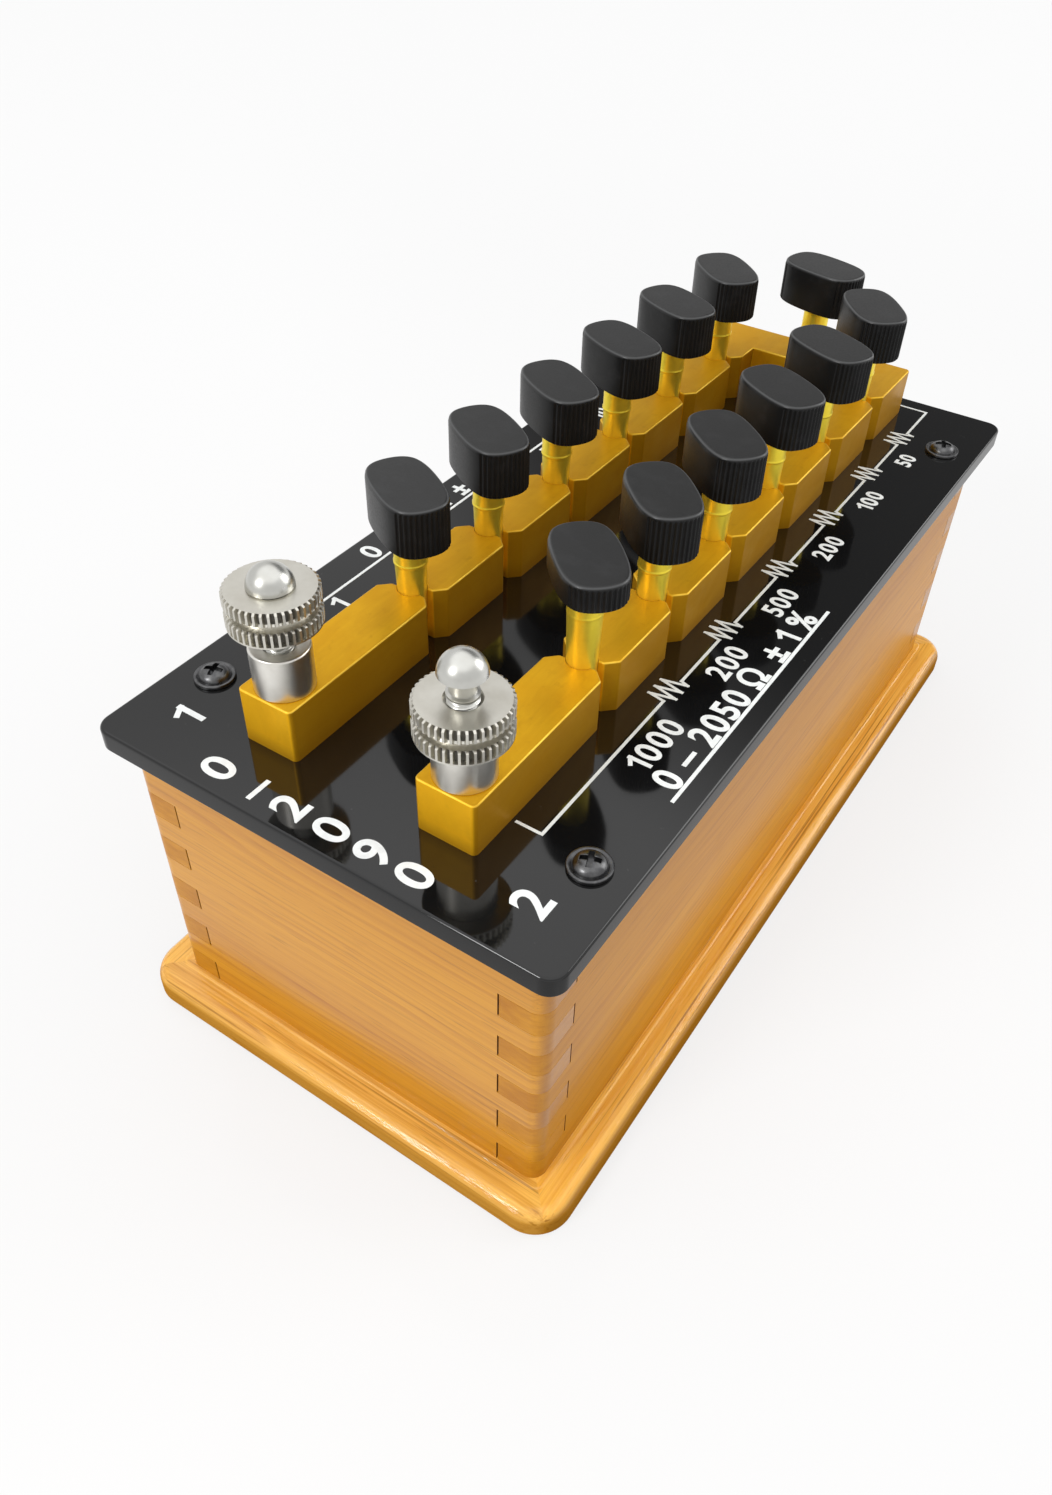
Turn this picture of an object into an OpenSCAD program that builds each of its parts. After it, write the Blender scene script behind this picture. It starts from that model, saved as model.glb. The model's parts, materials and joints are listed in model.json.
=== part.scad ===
// Plug resistance box: a finger-jointed wooden case under a black panel that carries two rows of
// brass contact blocks. A tapered plug in each gap shorts out the coil that hangs below it.
// Millimetres. The origin is the middle of the base board's underside, +Y points away from the
// terminals and +Z up.

/* [Panel] */
// Width of the top panel
panel_w = 110; // [100:1:130]
// Thickness of the top panel
panel_t = 4.8; // [4:0.1:8]
// Radius of the panel's corners, seen from above
panel_corner_r = 5; // [2:0.5:10]
// Bevel along the panel's top edge
panel_bevel = 0.6; // [0.3:0.1:1.5]
// From the rear of the corner blocks to the panel's rear edge
rear_margin = 8.9; // [7:0.1:20]

/* [Case] */
// How far the panel stands out beyond the walls
overhang = 4.2; // [2:0.1:6]
// Thickness of the walls
wall_t = 10; // [8:0.5:13]
// Height of one finger of the corner joints
finger_h = 6.6; // [5.5:0.1:8]
// Fingers up each corner, both walls together, an odd number
fingers = 11; // [9:2:15]
// Radius of the upright corners of the case
case_corner_r = 3.5; // [1:0.5:6]
// Slack all round each finger
joint_slack = 0.05; // [0.02:0.01:0.15]

/* [Base board] */
// How far the base board stands out beyond the walls
base_lip = 8; // [4:0.5:14]
// Thickness of the base board
base_t = 7.4; // [6:0.1:12]
// Radius of the base board's corners, seen from above
base_corner_r = 9; // [6:0.5:14]
// Rounding of the base board's top edge
base_round = 3.2; // [1:0.1:5]

/* [Contact blocks] */
// Width of the brass bar
bar_w = 13.4; // [11:0.1:16]
// Height of the brass bar
bar_h = 12.5; // [10:0.1:16]
// Distance between the centres of the two rows
row_spacing = 42.3; // [40:0.1:50]
// Length of the terminal blocks
terminal_l = 44.2; // [36:0.1:60]
// Distance from plug to plug along a row
pitch = 28; // [25:0.1:34]
// Short blocks in each row
short_blocks = 5; // [2:1:5]
// Length of the corner blocks along the row
corner_l = 23; // [20:0.1:32]
// Gap between neighbouring blocks
block_gap = 2.6; // [1.6:0.1:3.2]
// Chamfer of the upright edges at a gap
gap_chamfer = 2.4; // [1:0.1:3.2]
// Chamfer of the other upright edges
end_chamfer = 0.9; // [0.3:0.1:2]

/* [Plugs] */
// Top of the caps above the blocks
plug_rise = 24.7; // [20:0.1:32]
// Length of a cap, over its fluted ends
cap_l = 22.8; // [18:0.1:24]
// Width of a cap, over its flat sides
cap_w = 13.9; // [11:0.1:17]
// Height of a cap
cap_h = 10.7; // [7:0.1:13]
// Height of the thin cap on the first plug of the right row
thin_cap_h = 5.6; // [5.2:0.1:13]
// Plain rim above the flutes
cap_rim = 0.8; // [0.4:0.1:2]
// Flutes in each end of a cap
flutes = 13; // [7:2:19]
// Depth of the flutes
flute_depth = 0.35; // [0.1:0.05:0.6]
// Angle left plain between the flutes and the edge of a flat side
flute_margin = 3; // [1:0.5:6]
// Sharpness of the edge between a round end and a flat side
cap_sharpness = 4.5; // [3:0.5:12]
// Diameter of the ferrule under the cap
ferrule_d = 7.3; // [6.4:0.1:9]
// Height of the ferrule
ferrule_h = 7.7; // [2:0.1:9]
// Taper of the ferrule towards the cap, on the radius
ferrule_taper = 0.2; // [0:0.05:0.5]
// Diameter of the pin where it enters the blocks
pin_d = 6.4; // [5.2:0.1:7]
// Diameter of the pin at its tip
pin_tip_d = 5.6; // [4.4:0.1:5.9]
// Chamfer of the pin's tip
pin_tip_chamfer = 0.5; // [0.2:0.1:1]
// From the panel to the pin's tip
pin_tip_gap = 0.6; // [0.3:0.1:3]
// Diameter of the spigot that holds the cap
spigot_d = 4; // [3:0.1:5]
// Length of the spigot
spigot_l = 4; // [2:0.1:4.2]
// Turn of each left cap from the X axis, front to rear
left_turns = [149, 149, 150, 155, 155, 139]; // [0:1:180]
// Turn of each right cap from the X axis, front to rear
right_turns = [135, 136, 140, 150, 154, 130]; // [0:1:180]
// Turn of the rear cap from the X axis
rear_turn = 165; // [0:1:180]

/* [Terminals] */
// From the front end of a terminal block to its stud
stud_inset = 6.3; // [6:0.1:14]
// Space under the panel between the front wall and the studs' washers
stud_space = 1.15; // [0.5:0.05:10]
// Diameter of the stud's thread
stud_d = 6; // [5:0.1:6.4]
// Diameter of the plain neck under the dome
neck_d = 4.9; // [4:0.1:4.9]
// Diameter of the dome head
dome_d = 9; // [8:0.1:11]
// Diameter of the collar
collar_d = 12; // [10:0.1:12.4]
// Height of the collar
collar_h = 9.7; // [7:0.1:14]
// Chamfer of the collar's edges
collar_chamfer = 0.5; // [0.2:0.1:1]
// Diameter of the thumb nut over its teeth
nut_d = 18; // [15:0.1:20]
// Height of the nut's upper flange
nut_upper_h = 2.9; // [2:0.1:4]
// Height of the groove between the flanges
nut_groove_h = 1.5; // [0.8:0.1:2.5]
// Height of the nut's lower flange
nut_lower_h = 3.2; // [2:0.1:4]
// Depth of the groove below the roots of the teeth
nut_groove_depth = 1; // [0.4:0.1:1.6]
// Teeth round each flange
nut_teeth = 42; // [30:2:60]
// Depth of the teeth
tooth_depth = 0.8; // [0.3:0.05:1]
// How far a nut can travel up its stud
nut_travel = 5.2; // [3:0.1:10]
// Length of thread above a nut that is screwed down
thread_rise = 0.9; // [0.3:0.1:2.5]
// Width of the hexagon nut across its flats
hex_w = 10; // [9:0.1:11]
// Height of the hexagon nut
hex_h = 5; // [4:0.1:7]
// Diameter of the washer
washer_d = 12.5; // [11.6:0.1:14]
// Thickness of the washer
washer_t = 1.2; // [0.8:0.1:2]
// Length of stud below the hexagon nut
stud_tail = 3; // [1:0.1:6]

/* [Fasteners] */
// Diameter of the block and bobbin screws
screw_d = 4; // [3:0.1:4.2]
// Diameter of their heads
screw_head_d = 7; // [6:0.1:7.4]
// Height of their heads
screw_head_h = 2.6; // [2:0.1:3.5]
// Width of the slot in their heads
screw_slot_w = 1; // [0.6:0.1:1.4]
// Depth of that slot
screw_slot_depth = 1.3; // [0.8:0.1:1.6]
// From the end of a block to its screw
screw_inset = 6; // [5.5:0.1:8]
// How deep a screw goes into its block
screw_bite = 7; // [4:0.1:8.5]
// Height of the countersunk heads of the two screws above the rear wall
flush_head_h = 2; // [1.5:0.1:2.4]
// Diameter of the panel screws' flange
panel_screw_flange_d = 8.8; // [7:0.1:10]
// Thickness of that flange
panel_screw_flange_t = 0.9; // [0.5:0.1:1.5]
// Diameter of the panel screws' raised head
panel_screw_head_d = 6.6; // [5:0.1:6.8]
// Height of the whole head above the panel
panel_screw_head_h = 2.5; // [1.8:0.1:3.5]
// Width of the cross recess, tip to tip
recess_l = 4; // [3:0.1:4.6]
// Width of one slot of the recess
recess_w = 1.1; // [0.7:0.1:1.5]
// Depth of the recess
recess_depth = 1.3; // [0.8:0.1:1.6]
// Turn of the recess from the X axis
recess_turn = 20; // [0:1:90]
// Diameter of the panel screws' thread
panel_screw_d = 3.8; // [3:0.1:4.5]
// Length of the panel screws below the panel
panel_screw_bite = 14; // [10:0.5:20]
// From the front and rear edges of the panel to its screws
panel_screw_inset = 25; // [20:0.1:40]
// Diameter of the base screws' thread
base_screw_d = 4; // [3:0.1:4.5]
// Diameter of the base screws' countersunk heads
base_screw_head_d = 8; // [6.5:0.1:9]
// Height of the countersunk heads
base_screw_head_h = 2.4; // [1.8:0.1:3]
// How far the heads lie under the base board's underside
base_screw_sink = 0.4; // [0.2:0.1:1]
// How deep the base screws go into the walls
base_screw_bite = 18; // [10:0.5:25]

/* [Coils] */
// Diameter of a bobbin's flanges
bobbin_d = 17; // [14:0.1:18.4]
// Length of a bobbin
bobbin_l = 42; // [30:0.5:50]
// Thickness of a bobbin's flanges
bobbin_flange_t = 2.5; // [1.5:0.1:3]
// Diameter of a bobbin's core
bobbin_core_d = 9; // [7:0.1:10]
// Diameter of the winding
winding_d = 14.6; // [12:0.1:15.8]
// Space between the two columns of bobbins
bobbin_space = 1.6; // [0.8:0.1:3]
// Panel left above the bobbin screws
panel_skin = 1.3; // [0.8:0.1:2]
// Diameter of the lead wires
lead_d = 0.9; // [0.5:0.1:1.4]
// How far the leads drop below the screw heads
lead_drop = 2.6; // [1.5:0.1:5]

/* [Fits] */
// Radial clearance of a pin, stud or screw in its own hole
fit = 0.05; // [0.02:0.01:0.09]
// Radial clearance of screws and studs in the panel
panel_hole_slack = 0.2; // [0.1:0.05:0.4]
// Clearance between the end of a moving piece and its stop
stop_gap = 0.05; // [0.02:0.01:0.2]
// Space left beyond the tip of a screw
tip_space = 1; // [0.5:0.1:2]

/* [Hidden] */
$fn = 64;
eps = 0.01;
over = 1;
rim_step = 5;
gaps = short_blocks + 1;
front_margin = overhang + wall_t + stud_space + washer_d / 2 - stud_inset;
panel_l = front_margin + terminal_l + block_gap + short_blocks * pitch + corner_l + rear_margin;
case_w = panel_w - 2 * overhang;
case_l = panel_l - 2 * overhang;
wall_h = fingers * finger_h;
base_w = case_w + 2 * base_lip;
base_l = case_l + 2 * base_lip;
z_under = base_t + wall_h;
z_panel = z_under + panel_t;
z_block = z_panel + bar_h;
row_x = row_spacing / 2;
row_front = -panel_l / 2 + front_margin;
row_rear = panel_l / 2 - rear_margin;
stud_y = row_front + stud_inset;
bridge_y = row_rear - bar_w / 2;
screw_step = block_gap / 2 + screw_inset;
nut_h = nut_upper_h + nut_groove_h + nut_lower_h;
nut_groove_d = nut_d - 2 * (tooth_depth + nut_groove_depth);
z_collar = z_block + collar_h;
z_nut_low = z_collar + stop_gap;
z_dome = z_nut_low + nut_h + nut_travel + stop_gap;
z_thread = z_nut_low + nut_h + thread_rise;
panel_screw_x = case_w / 2 - wall_t / 2;
panel_screw_y = panel_l / 2 - panel_screw_inset;
bobbin_x = (bobbin_d + bobbin_space) / 2;
bobbin_bite = panel_t - panel_skin - stop_gap;
lead_z = z_under - screw_head_h - lead_drop;
z_tip = z_panel + pin_tip_gap;
SIDES = [["left", -1], ["right", 1]];
WOOD = [0.80, 0.52, 0.22];
DARK_WOOD = [0.76, 0.47, 0.17];
BRASS = [0.80, 0.60, 0.17];
NICKEL = [0.79, 0.78, 0.74];
BLACK = [0.07, 0.07, 0.08];
STEEL = [0.45, 0.45, 0.47];

// Y of the middle of gap k, counted from 0 at the front
function gap_y(k) = row_front + terminal_l + block_gap / 2 + k * pitch;
// Underside of a cap of the given height
function cap_foot(height) = z_block + plug_rise - height;
// Underside of the ferrule below a cap of the given height
function ferrule_foot(height) = cap_foot(height) - ferrule_h;
// Height of the cap in gap k of a row
function cap_height(side, k) = side > 0 && k == 0 ? thin_cap_h : cap_h;
// Turn of the cap in gap k of a row
function cap_turn(side, k) = side > 0 ? right_turns[k] : left_turns[k];
// Radius of the pin at height z, with its taper continued
function pin_r(z) = (pin_tip_d + (pin_d - pin_tip_d) * (z - z_tip) / (z_block - z_tip)) / 2;
// Places of the screws beside the gaps of both rows, seen from above
function gap_screws() = [for (side = [-1, 1], k = [0 : gaps - 1], s = [-1, 1])
    [side * row_x, gap_y(k) + s * screw_step]];
// Places of the two flush screws in the bridge
function bridge_screws() = [for (side = [-1, 1]) [side * screw_step, bridge_y]];
// Places of the base screws: three along each side wall, one in the front and rear walls
function base_screw_places() = concat(
    [for (s = [-1, 1], t = [-1, 0, 1]) [s * panel_screw_x, t * case_l / 3]],
    [for (t = [-1, 1]) [0, t * (case_l - wall_t) / 2]]);
// Node names for one piece in every gap of both rows
function gap_nodes(piece) = [for (s = SIDES, k = [1 : gaps]) str(s[0], "_", piece, "_", k)];
// Node names for one piece on each side
function side_nodes(piece) = [for (s = SIDES) str(s[0], "_", piece)];

// Rectangle with round corners, centred
module round_rect(w, l, r) {
    square([w - 2 * r, l], center = true);
    square([w, l - 2 * r], center = true);
    for (x = [-1, 1], y = [-1, 1])
        translate([x * (w / 2 - r), y * (l / 2 - r)]) circle(r);
}

// Half section of a plate from its middle out to half_w, its top edge rounded or bevelled by ease
module plate_half(half_w, t, ease, rounded) {
    square([half_w, t - ease]);
    square([half_w - ease, t]);
    if (rounded)
        translate([half_w - ease, t - ease]) circle(ease);
    else
        polygon([[half_w - ease, t - ease], [half_w, t - ease], [half_w - ease, t]]);
}

// Whole section of a plate
module plate_section(w, t, ease, rounded) {
    plate_half(w / 2, t, ease, rounded);
    mirror([1, 0]) plate_half(w / 2, t, ease, rounded);
}

// Plate with round corners and an eased top edge, standing on z = 0
module eased_plate(w, l, t, r, ease, rounded) {
    rotate([90, 0, 0])
        linear_extrude(l - 2 * r, center = true) plate_section(w, t, ease, rounded);
    rotate([90, 0, 90])
        linear_extrude(w - 2 * r, center = true) plate_section(l, t, ease, rounded);
    for (x = [-1, 1], y = [-1, 1])
        translate([x * (w / 2 - r), y * (l / 2 - r), 0])
            rotate_extrude() plate_half(r, t, ease, rounded);
}

module base_board() {
    color(DARK_WOOD) difference() {
        eased_plate(base_w, base_l, base_t, base_corner_r, base_round, true);
        for (p = base_screw_places()) translate(p) {
            translate([0, 0, -eps]) cylinder(h = base_t + 2 * eps, d = base_screw_d + 2 * fit);
            translate([0, 0, -eps])
                cylinder(h = base_screw_sink + 2 * eps, d = base_screw_head_d + 2 * fit);
            translate([0, 0, base_screw_sink])
                cylinder(
                    h = base_screw_head_h, d1 = base_screw_head_d + 2 * fit, d2 = base_screw_d + 2 * fit);
        }
    }
}

module base_screws() {
    color(STEEL) for (p = base_screw_places()) translate(p) {
        translate([0, 0, base_screw_sink])
            cylinder(h = base_screw_head_h, d1 = base_screw_head_d, d2 = base_screw_d);
        translate([0, 0, base_screw_sink])
            cylinder(h = base_t - base_screw_sink + base_screw_bite, d = base_screw_d);
    }
}

// Room for the fingers of the neighbouring walls: bands of the given parity at one end of a wall
module finger_room(parity) {
    for (k = [parity : 2 : fingers - 1])
        translate([-wall_t - joint_slack, -over, base_t + k * finger_h - joint_slack])
            cube([wall_t + joint_slack + over, wall_t + 2 * over, finger_h + 2 * joint_slack]);
}

// Upright prism of the whole case, with round corners
module case_prism() {
    translate([0, 0, base_t]) linear_extrude(wall_h) round_rect(case_w, case_l, case_corner_r);
}

// Holes for the screws that enter the walls from above and below
module wall_screw_holes() {
    for (p = base_screw_places())
        translate([p[0], p[1], base_t - eps])
            cylinder(h = base_screw_bite + tip_space, d = base_screw_d + 2 * fit);
    for (x = [-1, 1], y = [-1, 1])
        translate([x * panel_screw_x, y * panel_screw_y, z_under - panel_screw_bite - tip_space])
            cylinder(h = panel_screw_bite + tip_space + eps, d = panel_screw_d + 2 * fit);
}

// Wall across the front (side -1) or the rear (side 1)
module end_wall(side) {
    y = side * (case_l - wall_t) / 2;
    color(WOOD) difference() {
        intersection() {
            translate([-case_w / 2, y - wall_t / 2, base_t]) cube([case_w, wall_t, wall_h]);
            case_prism();
        }
        for (m = [0, 1]) mirror([m, 0, 0])
            translate([case_w / 2, y - wall_t / 2, 0]) finger_room(0);
        wall_screw_holes();
    }
}

// Wall along the left (side -1) or the right (side 1)
module side_wall(side) {
    x = side * (case_w - wall_t) / 2;
    color(WOOD) difference() {
        intersection() {
            translate([x - wall_t / 2, -case_l / 2, base_t]) cube([wall_t, case_l, wall_h]);
            case_prism();
        }
        for (m = [0, 1]) mirror([0, m, 0])
            translate([x + wall_t / 2, case_l / 2, 0]) rotate(90) finger_room(1);
        wall_screw_holes();
    }
}

module top_panel() {
    hole_d = screw_d + 2 * panel_hole_slack;
    color(BLACK) difference() {
        translate([0, 0, z_under])
            eased_plate(panel_w, panel_l, panel_t, panel_corner_r, panel_bevel, false);
        translate([0, 0, z_under - eps]) {
            for (p = concat(gap_screws(), bridge_screws()))
                translate(p) cylinder(h = panel_t + 2 * eps, d = hole_d);
            for (p = bridge_screws()) translate(p)
                cylinder(h = flush_head_h + eps, d1 = screw_head_d + 2 * panel_hole_slack, d2 = hole_d);
            for (side = [-1, 1]) {
                translate([side * row_x, stud_y])
                    cylinder(h = panel_t + 2 * eps, d = stud_d + 2 * panel_hole_slack);
                for (k = [0 : gaps - 1])
                    translate([side * bobbin_x, gap_y(k)])
                        cylinder(h = panel_t - panel_skin + eps, d = screw_d + 2 * fit);
                for (y = [-1, 1])
                    translate([side * panel_screw_x, y * panel_screw_y])
                        cylinder(h = panel_t + 2 * eps, d = panel_screw_d + 2 * panel_hole_slack);
            }
        }
    }
}

// Profile of a panel screw's head: a flat flange and a raised dome
module panel_screw_profile() {
    half = panel_screw_head_d / 2;
    dome_h = panel_screw_head_h - panel_screw_flange_t;
    dome_r = (half * half + dome_h * dome_h) / (2 * dome_h);
    square([panel_screw_flange_d / 2, panel_screw_flange_t]);
    intersection() {
        translate([0, panel_screw_head_h - dome_r]) circle(dome_r);
        square([half, panel_screw_head_h]);
    }
}

module panel_screws() {
    color(BLACK) for (x = [-1, 1], y = [-1, 1])
        translate([x * panel_screw_x, y * panel_screw_y, z_panel]) {
            difference() {
                rotate_extrude() panel_screw_profile();
                for (turn = [recess_turn, recess_turn + 90])
                    translate([0, 0, panel_screw_head_h - recess_depth / 2]) rotate(turn)
                        cube([recess_l, recess_w, recess_depth + eps], center = true);
            }
            translate([0, 0, -panel_t - panel_screw_bite])
                cylinder(h = panel_t + panel_screw_bite + eps, d = panel_screw_d);
        }
}

// Screw from below: head under the panel, tip at the given height
module under_screw(head_z, tip_z) {
    translate([0, 0, head_z - screw_head_h]) difference() {
        cylinder(h = screw_head_h, d = screw_head_d);
        translate([0, 0, screw_slot_depth / 2])
            cube([screw_head_d + over, screw_slot_w, screw_slot_depth + eps], center = true);
    }
    translate([0, 0, head_z - eps]) cylinder(h = tip_z - head_z + eps, d = screw_d);
}

module block_screws() {
    color(STEEL) for (p = gap_screws())
        translate(p) under_screw(z_under, z_panel + screw_bite);
    color(STEEL) for (p = bridge_screws()) translate([p[0], p[1], z_under + stop_gap]) {
        cylinder(h = flush_head_h, d1 = screw_head_d, d2 = screw_d);
        cylinder(h = panel_t - stop_gap + screw_bite, d = screw_d);
    }
}

// Plan of a straight block from y0 to y1 with its own chamfer at each end
module bar_plan(y0, y1, cut0, cut1) {
    h = bar_w / 2;
    polygon([
        [-h, y0 + cut0], [-h + cut0, y0], [h - cut0, y0], [h, y0 + cut0],
        [h, y1 - cut1], [h - cut1, y1], [-h + cut1, y1], [-h, y1 - cut1]]);
}

// Plan of the right corner block: a leg along the row and a bridge towards the middle
module corner_plan() {
    y0 = gap_y(gaps - 1) + block_gap / 2;
    translate([row_x, 0]) bar_plan(y0, row_rear, gap_chamfer, end_chamfer);
    translate([0, bridge_y]) rotate(-90)
        bar_plan(block_gap / 2, row_x + bar_w / 2, gap_chamfer, end_chamfer);
}

// Tapered hole for a plug, the pin's own cone with its clearance
module plug_hole(x, y) {
    r0 = pin_r(z_panel - over) + fit;
    r1 = pin_r(z_block + over) + fit;
    translate([x, y, z_panel - over]) cylinder(h = bar_h + 2 * over, r1 = r0, r2 = r1);
}

// Brass block with the given plan, cut by the plug holes, screw holes and stud holes
module contact_block() {
    color(BRASS) difference() {
        translate([0, 0, z_panel]) linear_extrude(bar_h) children();
        for (p = concat(gap_screws(), bridge_screws()))
            translate([p[0], p[1], z_panel - eps])
                cylinder(h = screw_bite + tip_space, d = screw_d + 2 * fit);
        for (side = [-1, 1]) {
            for (k = [0 : gaps - 1]) plug_hole(side * row_x, gap_y(k));
            translate([side * row_x, stud_y, z_panel - eps])
                cylinder(h = bar_h + 2 * eps, d = stud_d + 2 * fit);
        }
        plug_hole(0, bridge_y);
    }
}

module terminal_block(side) {
    contact_block() translate([side * row_x, 0])
        bar_plan(row_front, row_front + terminal_l, end_chamfer, gap_chamfer);
}

// Short block k of a row, counted from 1
module short_block(side, k) {
    contact_block() translate([side * row_x, 0])
        bar_plan(gap_y(k - 1) + block_gap / 2, gap_y(k) - block_gap / 2, gap_chamfer, gap_chamfer);
}

module corner_block(side) {
    contact_block() mirror([side < 0 ? 1 : 0, 0]) corner_plan();
}

// Brass pin of a plug on its own axis: taper, ferrule and the spigot inside the cap
module plug_pin(height) {
    foot = cap_foot(height);
    z_edge = z_tip + pin_tip_chamfer;
    z_ferrule = ferrule_foot(height);
    ferrule_r = ferrule_d / 2;
    step = ferrule_r - pin_r(z_ferrule);
    color(BRASS) rotate_extrude() polygon([
        [0, z_tip], [pin_tip_d / 2 - pin_tip_chamfer, z_tip], [pin_r(z_edge), z_edge],
        [pin_r(z_ferrule), z_ferrule], [ferrule_r, z_ferrule + abs(step)],
        [ferrule_r - ferrule_taper, foot],
        [spigot_d / 2, foot], [spigot_d / 2, foot + spigot_l], [0, foot + spigot_l]]);
}

// Radius of a cap's outline at angle a from its long axis: a round end blended into a flat side
function cap_r(a) =
    let (end = pow(2 / cap_l, cap_sharpness), side = pow(2 / cap_w, cap_sharpness))
    pow(end + pow(abs(sin(a)), cap_sharpness) * (side - end), -1 / cap_sharpness);
// Half the angle that the flutes of one end span
flute_span = asin(cap_w / cap_l) - flute_margin;
// Angles and depths of the points of one flute from angle a: ridge, ridge, groove, groove
function flute_points(a, step) = [[a, 0], [a + 0.4 * step, 0], [a + 0.6 * step, 1], [a + 0.8 * step, 1]];
// Angles and depths round half of a cap's outline: one fluted end, then one smooth side
function half_points(a0) = concat(
    [for (k = [0 : flutes - 1]) each flute_points(
        a0 - flute_span + 2 * flute_span * k / flutes, 2 * flute_span / flutes)],
    [for (t = [0 : 0.1 : 1.001]) [a0 + flute_span + t * (180 - 2 * flute_span), 0]]);
CAP_POINTS = [for (p = concat(half_points(0), half_points(180)))
    (cap_r(p[0]) - flute_depth * p[1]) * [cos(p[0]), sin(p[0])]];
RIM_POINTS = [for (a = [0 : rim_step : 359]) (cap_r(a) - flute_depth) * [cos(a), sin(a)]];

// Moulded cap of a plug on its own axis
module plug_cap(height) {
    foot = cap_foot(height);
    color(BLACK) difference() {
        translate([0, 0, foot]) {
            linear_extrude(height - cap_rim) polygon(CAP_POINTS);
            linear_extrude(height) polygon(RIM_POINTS);
        }
        translate([0, 0, foot - eps])
            cylinder(h = spigot_l + stop_gap + eps, d = spigot_d + 2 * fit);
    }
}

// Plated sleeve between a terminal block and its nut
module collar(side) {
    r = collar_d / 2;
    c = collar_chamfer;
    color(NICKEL) translate([side * row_x, stud_y, z_block]) rotate_extrude() polygon([
        [stud_d / 2 + fit, 0], [r - c, 0], [r, c], [r, collar_h - c], [r - c, collar_h],
        [stud_d / 2 + fit, collar_h]]);
}

// Stud with its thread, neck and dome head
module stud(side) {
    z_end = z_under - washer_t - stop_gap - hex_h - stud_tail;
    color(NICKEL) translate([side * row_x, stud_y, 0]) rotate_extrude() {
        translate([0, z_end]) square([stud_d / 2, z_thread - z_end]);
        translate([0, z_thread - eps]) square([neck_d / 2, z_dome - z_thread + 2 * eps]);
        intersection() {
            translate([0, z_dome]) circle(dome_d / 2);
            translate([0, z_dome]) square([dome_d, dome_d]);
        }
    }
}

// Outline of a knurled flange
module toothed_disc() {
    r = nut_d / 2;
    step = 360 / nut_teeth;
    polygon([for (k = [0 : nut_teeth - 1], p = [[0, 0], [0.3, 0], [0.5, 1], [0.8, 1]])
        (r - tooth_depth * p[1]) * [cos((k + p[0]) * step), sin((k + p[0]) * step)]]);
}

// Thumb nut, low on its stud (raised 0) or high under the dome (raised 1)
module thumb_nut(side, raised) {
    color(NICKEL) translate([side * row_x, stud_y, z_nut_low + raised * nut_travel]) difference() {
        union() {
            linear_extrude(nut_lower_h) toothed_disc();
            cylinder(h = nut_h, d = nut_groove_d);
            translate([0, 0, nut_lower_h + nut_groove_h]) linear_extrude(nut_upper_h) toothed_disc();
        }
        translate([0, 0, -eps]) cylinder(h = nut_h + 2 * eps, d = stud_d + 2 * fit);
    }
}

module stud_nuts() {
    color(STEEL) for (side = [-1, 1]) translate([side * row_x, stud_y, z_under - washer_t]) {
        difference() {
            cylinder(h = washer_t, d = washer_d);
            translate([0, 0, -eps]) cylinder(h = washer_t + 2 * eps, d = stud_d + 2 * fit);
        }
        translate([0, 0, -hex_h - stop_gap]) difference() {
            cylinder(h = hex_h, d = hex_w / cos(30), $fn = 6);
            translate([0, 0, -eps]) cylinder(h = hex_h + 2 * eps, d = stud_d + 2 * fit);
        }
    }
}

// Places its children at every bobbin, with z = 0 at the panel's underside
module at_bobbins() {
    for (side = [-1, 1], k = [0 : gaps - 1])
        translate([side * bobbin_x, gap_y(k), z_under]) children();
}

module coil_bobbins() {
    color([0.55, 0.36, 0.18]) at_bobbins() translate([0, 0, -bobbin_l]) difference() {
        union() {
            cylinder(h = bobbin_flange_t, d = bobbin_d);
            cylinder(h = bobbin_l, d = bobbin_core_d);
            translate([0, 0, bobbin_l - bobbin_flange_t]) cylinder(h = bobbin_flange_t, d = bobbin_d);
        }
        translate([0, 0, -eps]) cylinder(h = bobbin_l + 2 * eps, d = screw_d + 2 * fit);
    }
}

module coil_windings() {
    h = bobbin_l - 2 * bobbin_flange_t - 2 * fit;
    color([0.16, 0.35, 0.20]) at_bobbins() translate([0, 0, -bobbin_flange_t - fit - h]) difference() {
        cylinder(h = h, d = winding_d);
        translate([0, 0, -eps]) cylinder(h = h + 2 * eps, d = bobbin_core_d + 2 * fit);
    }
}

module bobbin_screws() {
    color(STEEL) at_bobbins() under_screw(-bobbin_l, bobbin_bite);
}

// One lead: down from a block screw's head, then across to the winding
module coil_lead(side, k, end) {
    from = [side * row_x, gap_y(k) + end * screw_step];
    reach = [side * bobbin_x, gap_y(k)] - from;
    run = norm(reach) - winding_d / 2 - fit;
    translate([from[0], from[1], lead_z]) {
        cylinder(h = lead_drop - fit, d = lead_d);
        sphere(d = lead_d);
        rotate([0, 90, atan2(reach[1], reach[0])]) cylinder(h = run, d = lead_d);
    }
}

module coil_leads() {
    color([0.72, 0.45, 0.25]) for (side = [-1, 1], k = [0 : gaps - 1], end = [-1, 1])
        coil_lead(side, k, end);
}

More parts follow.
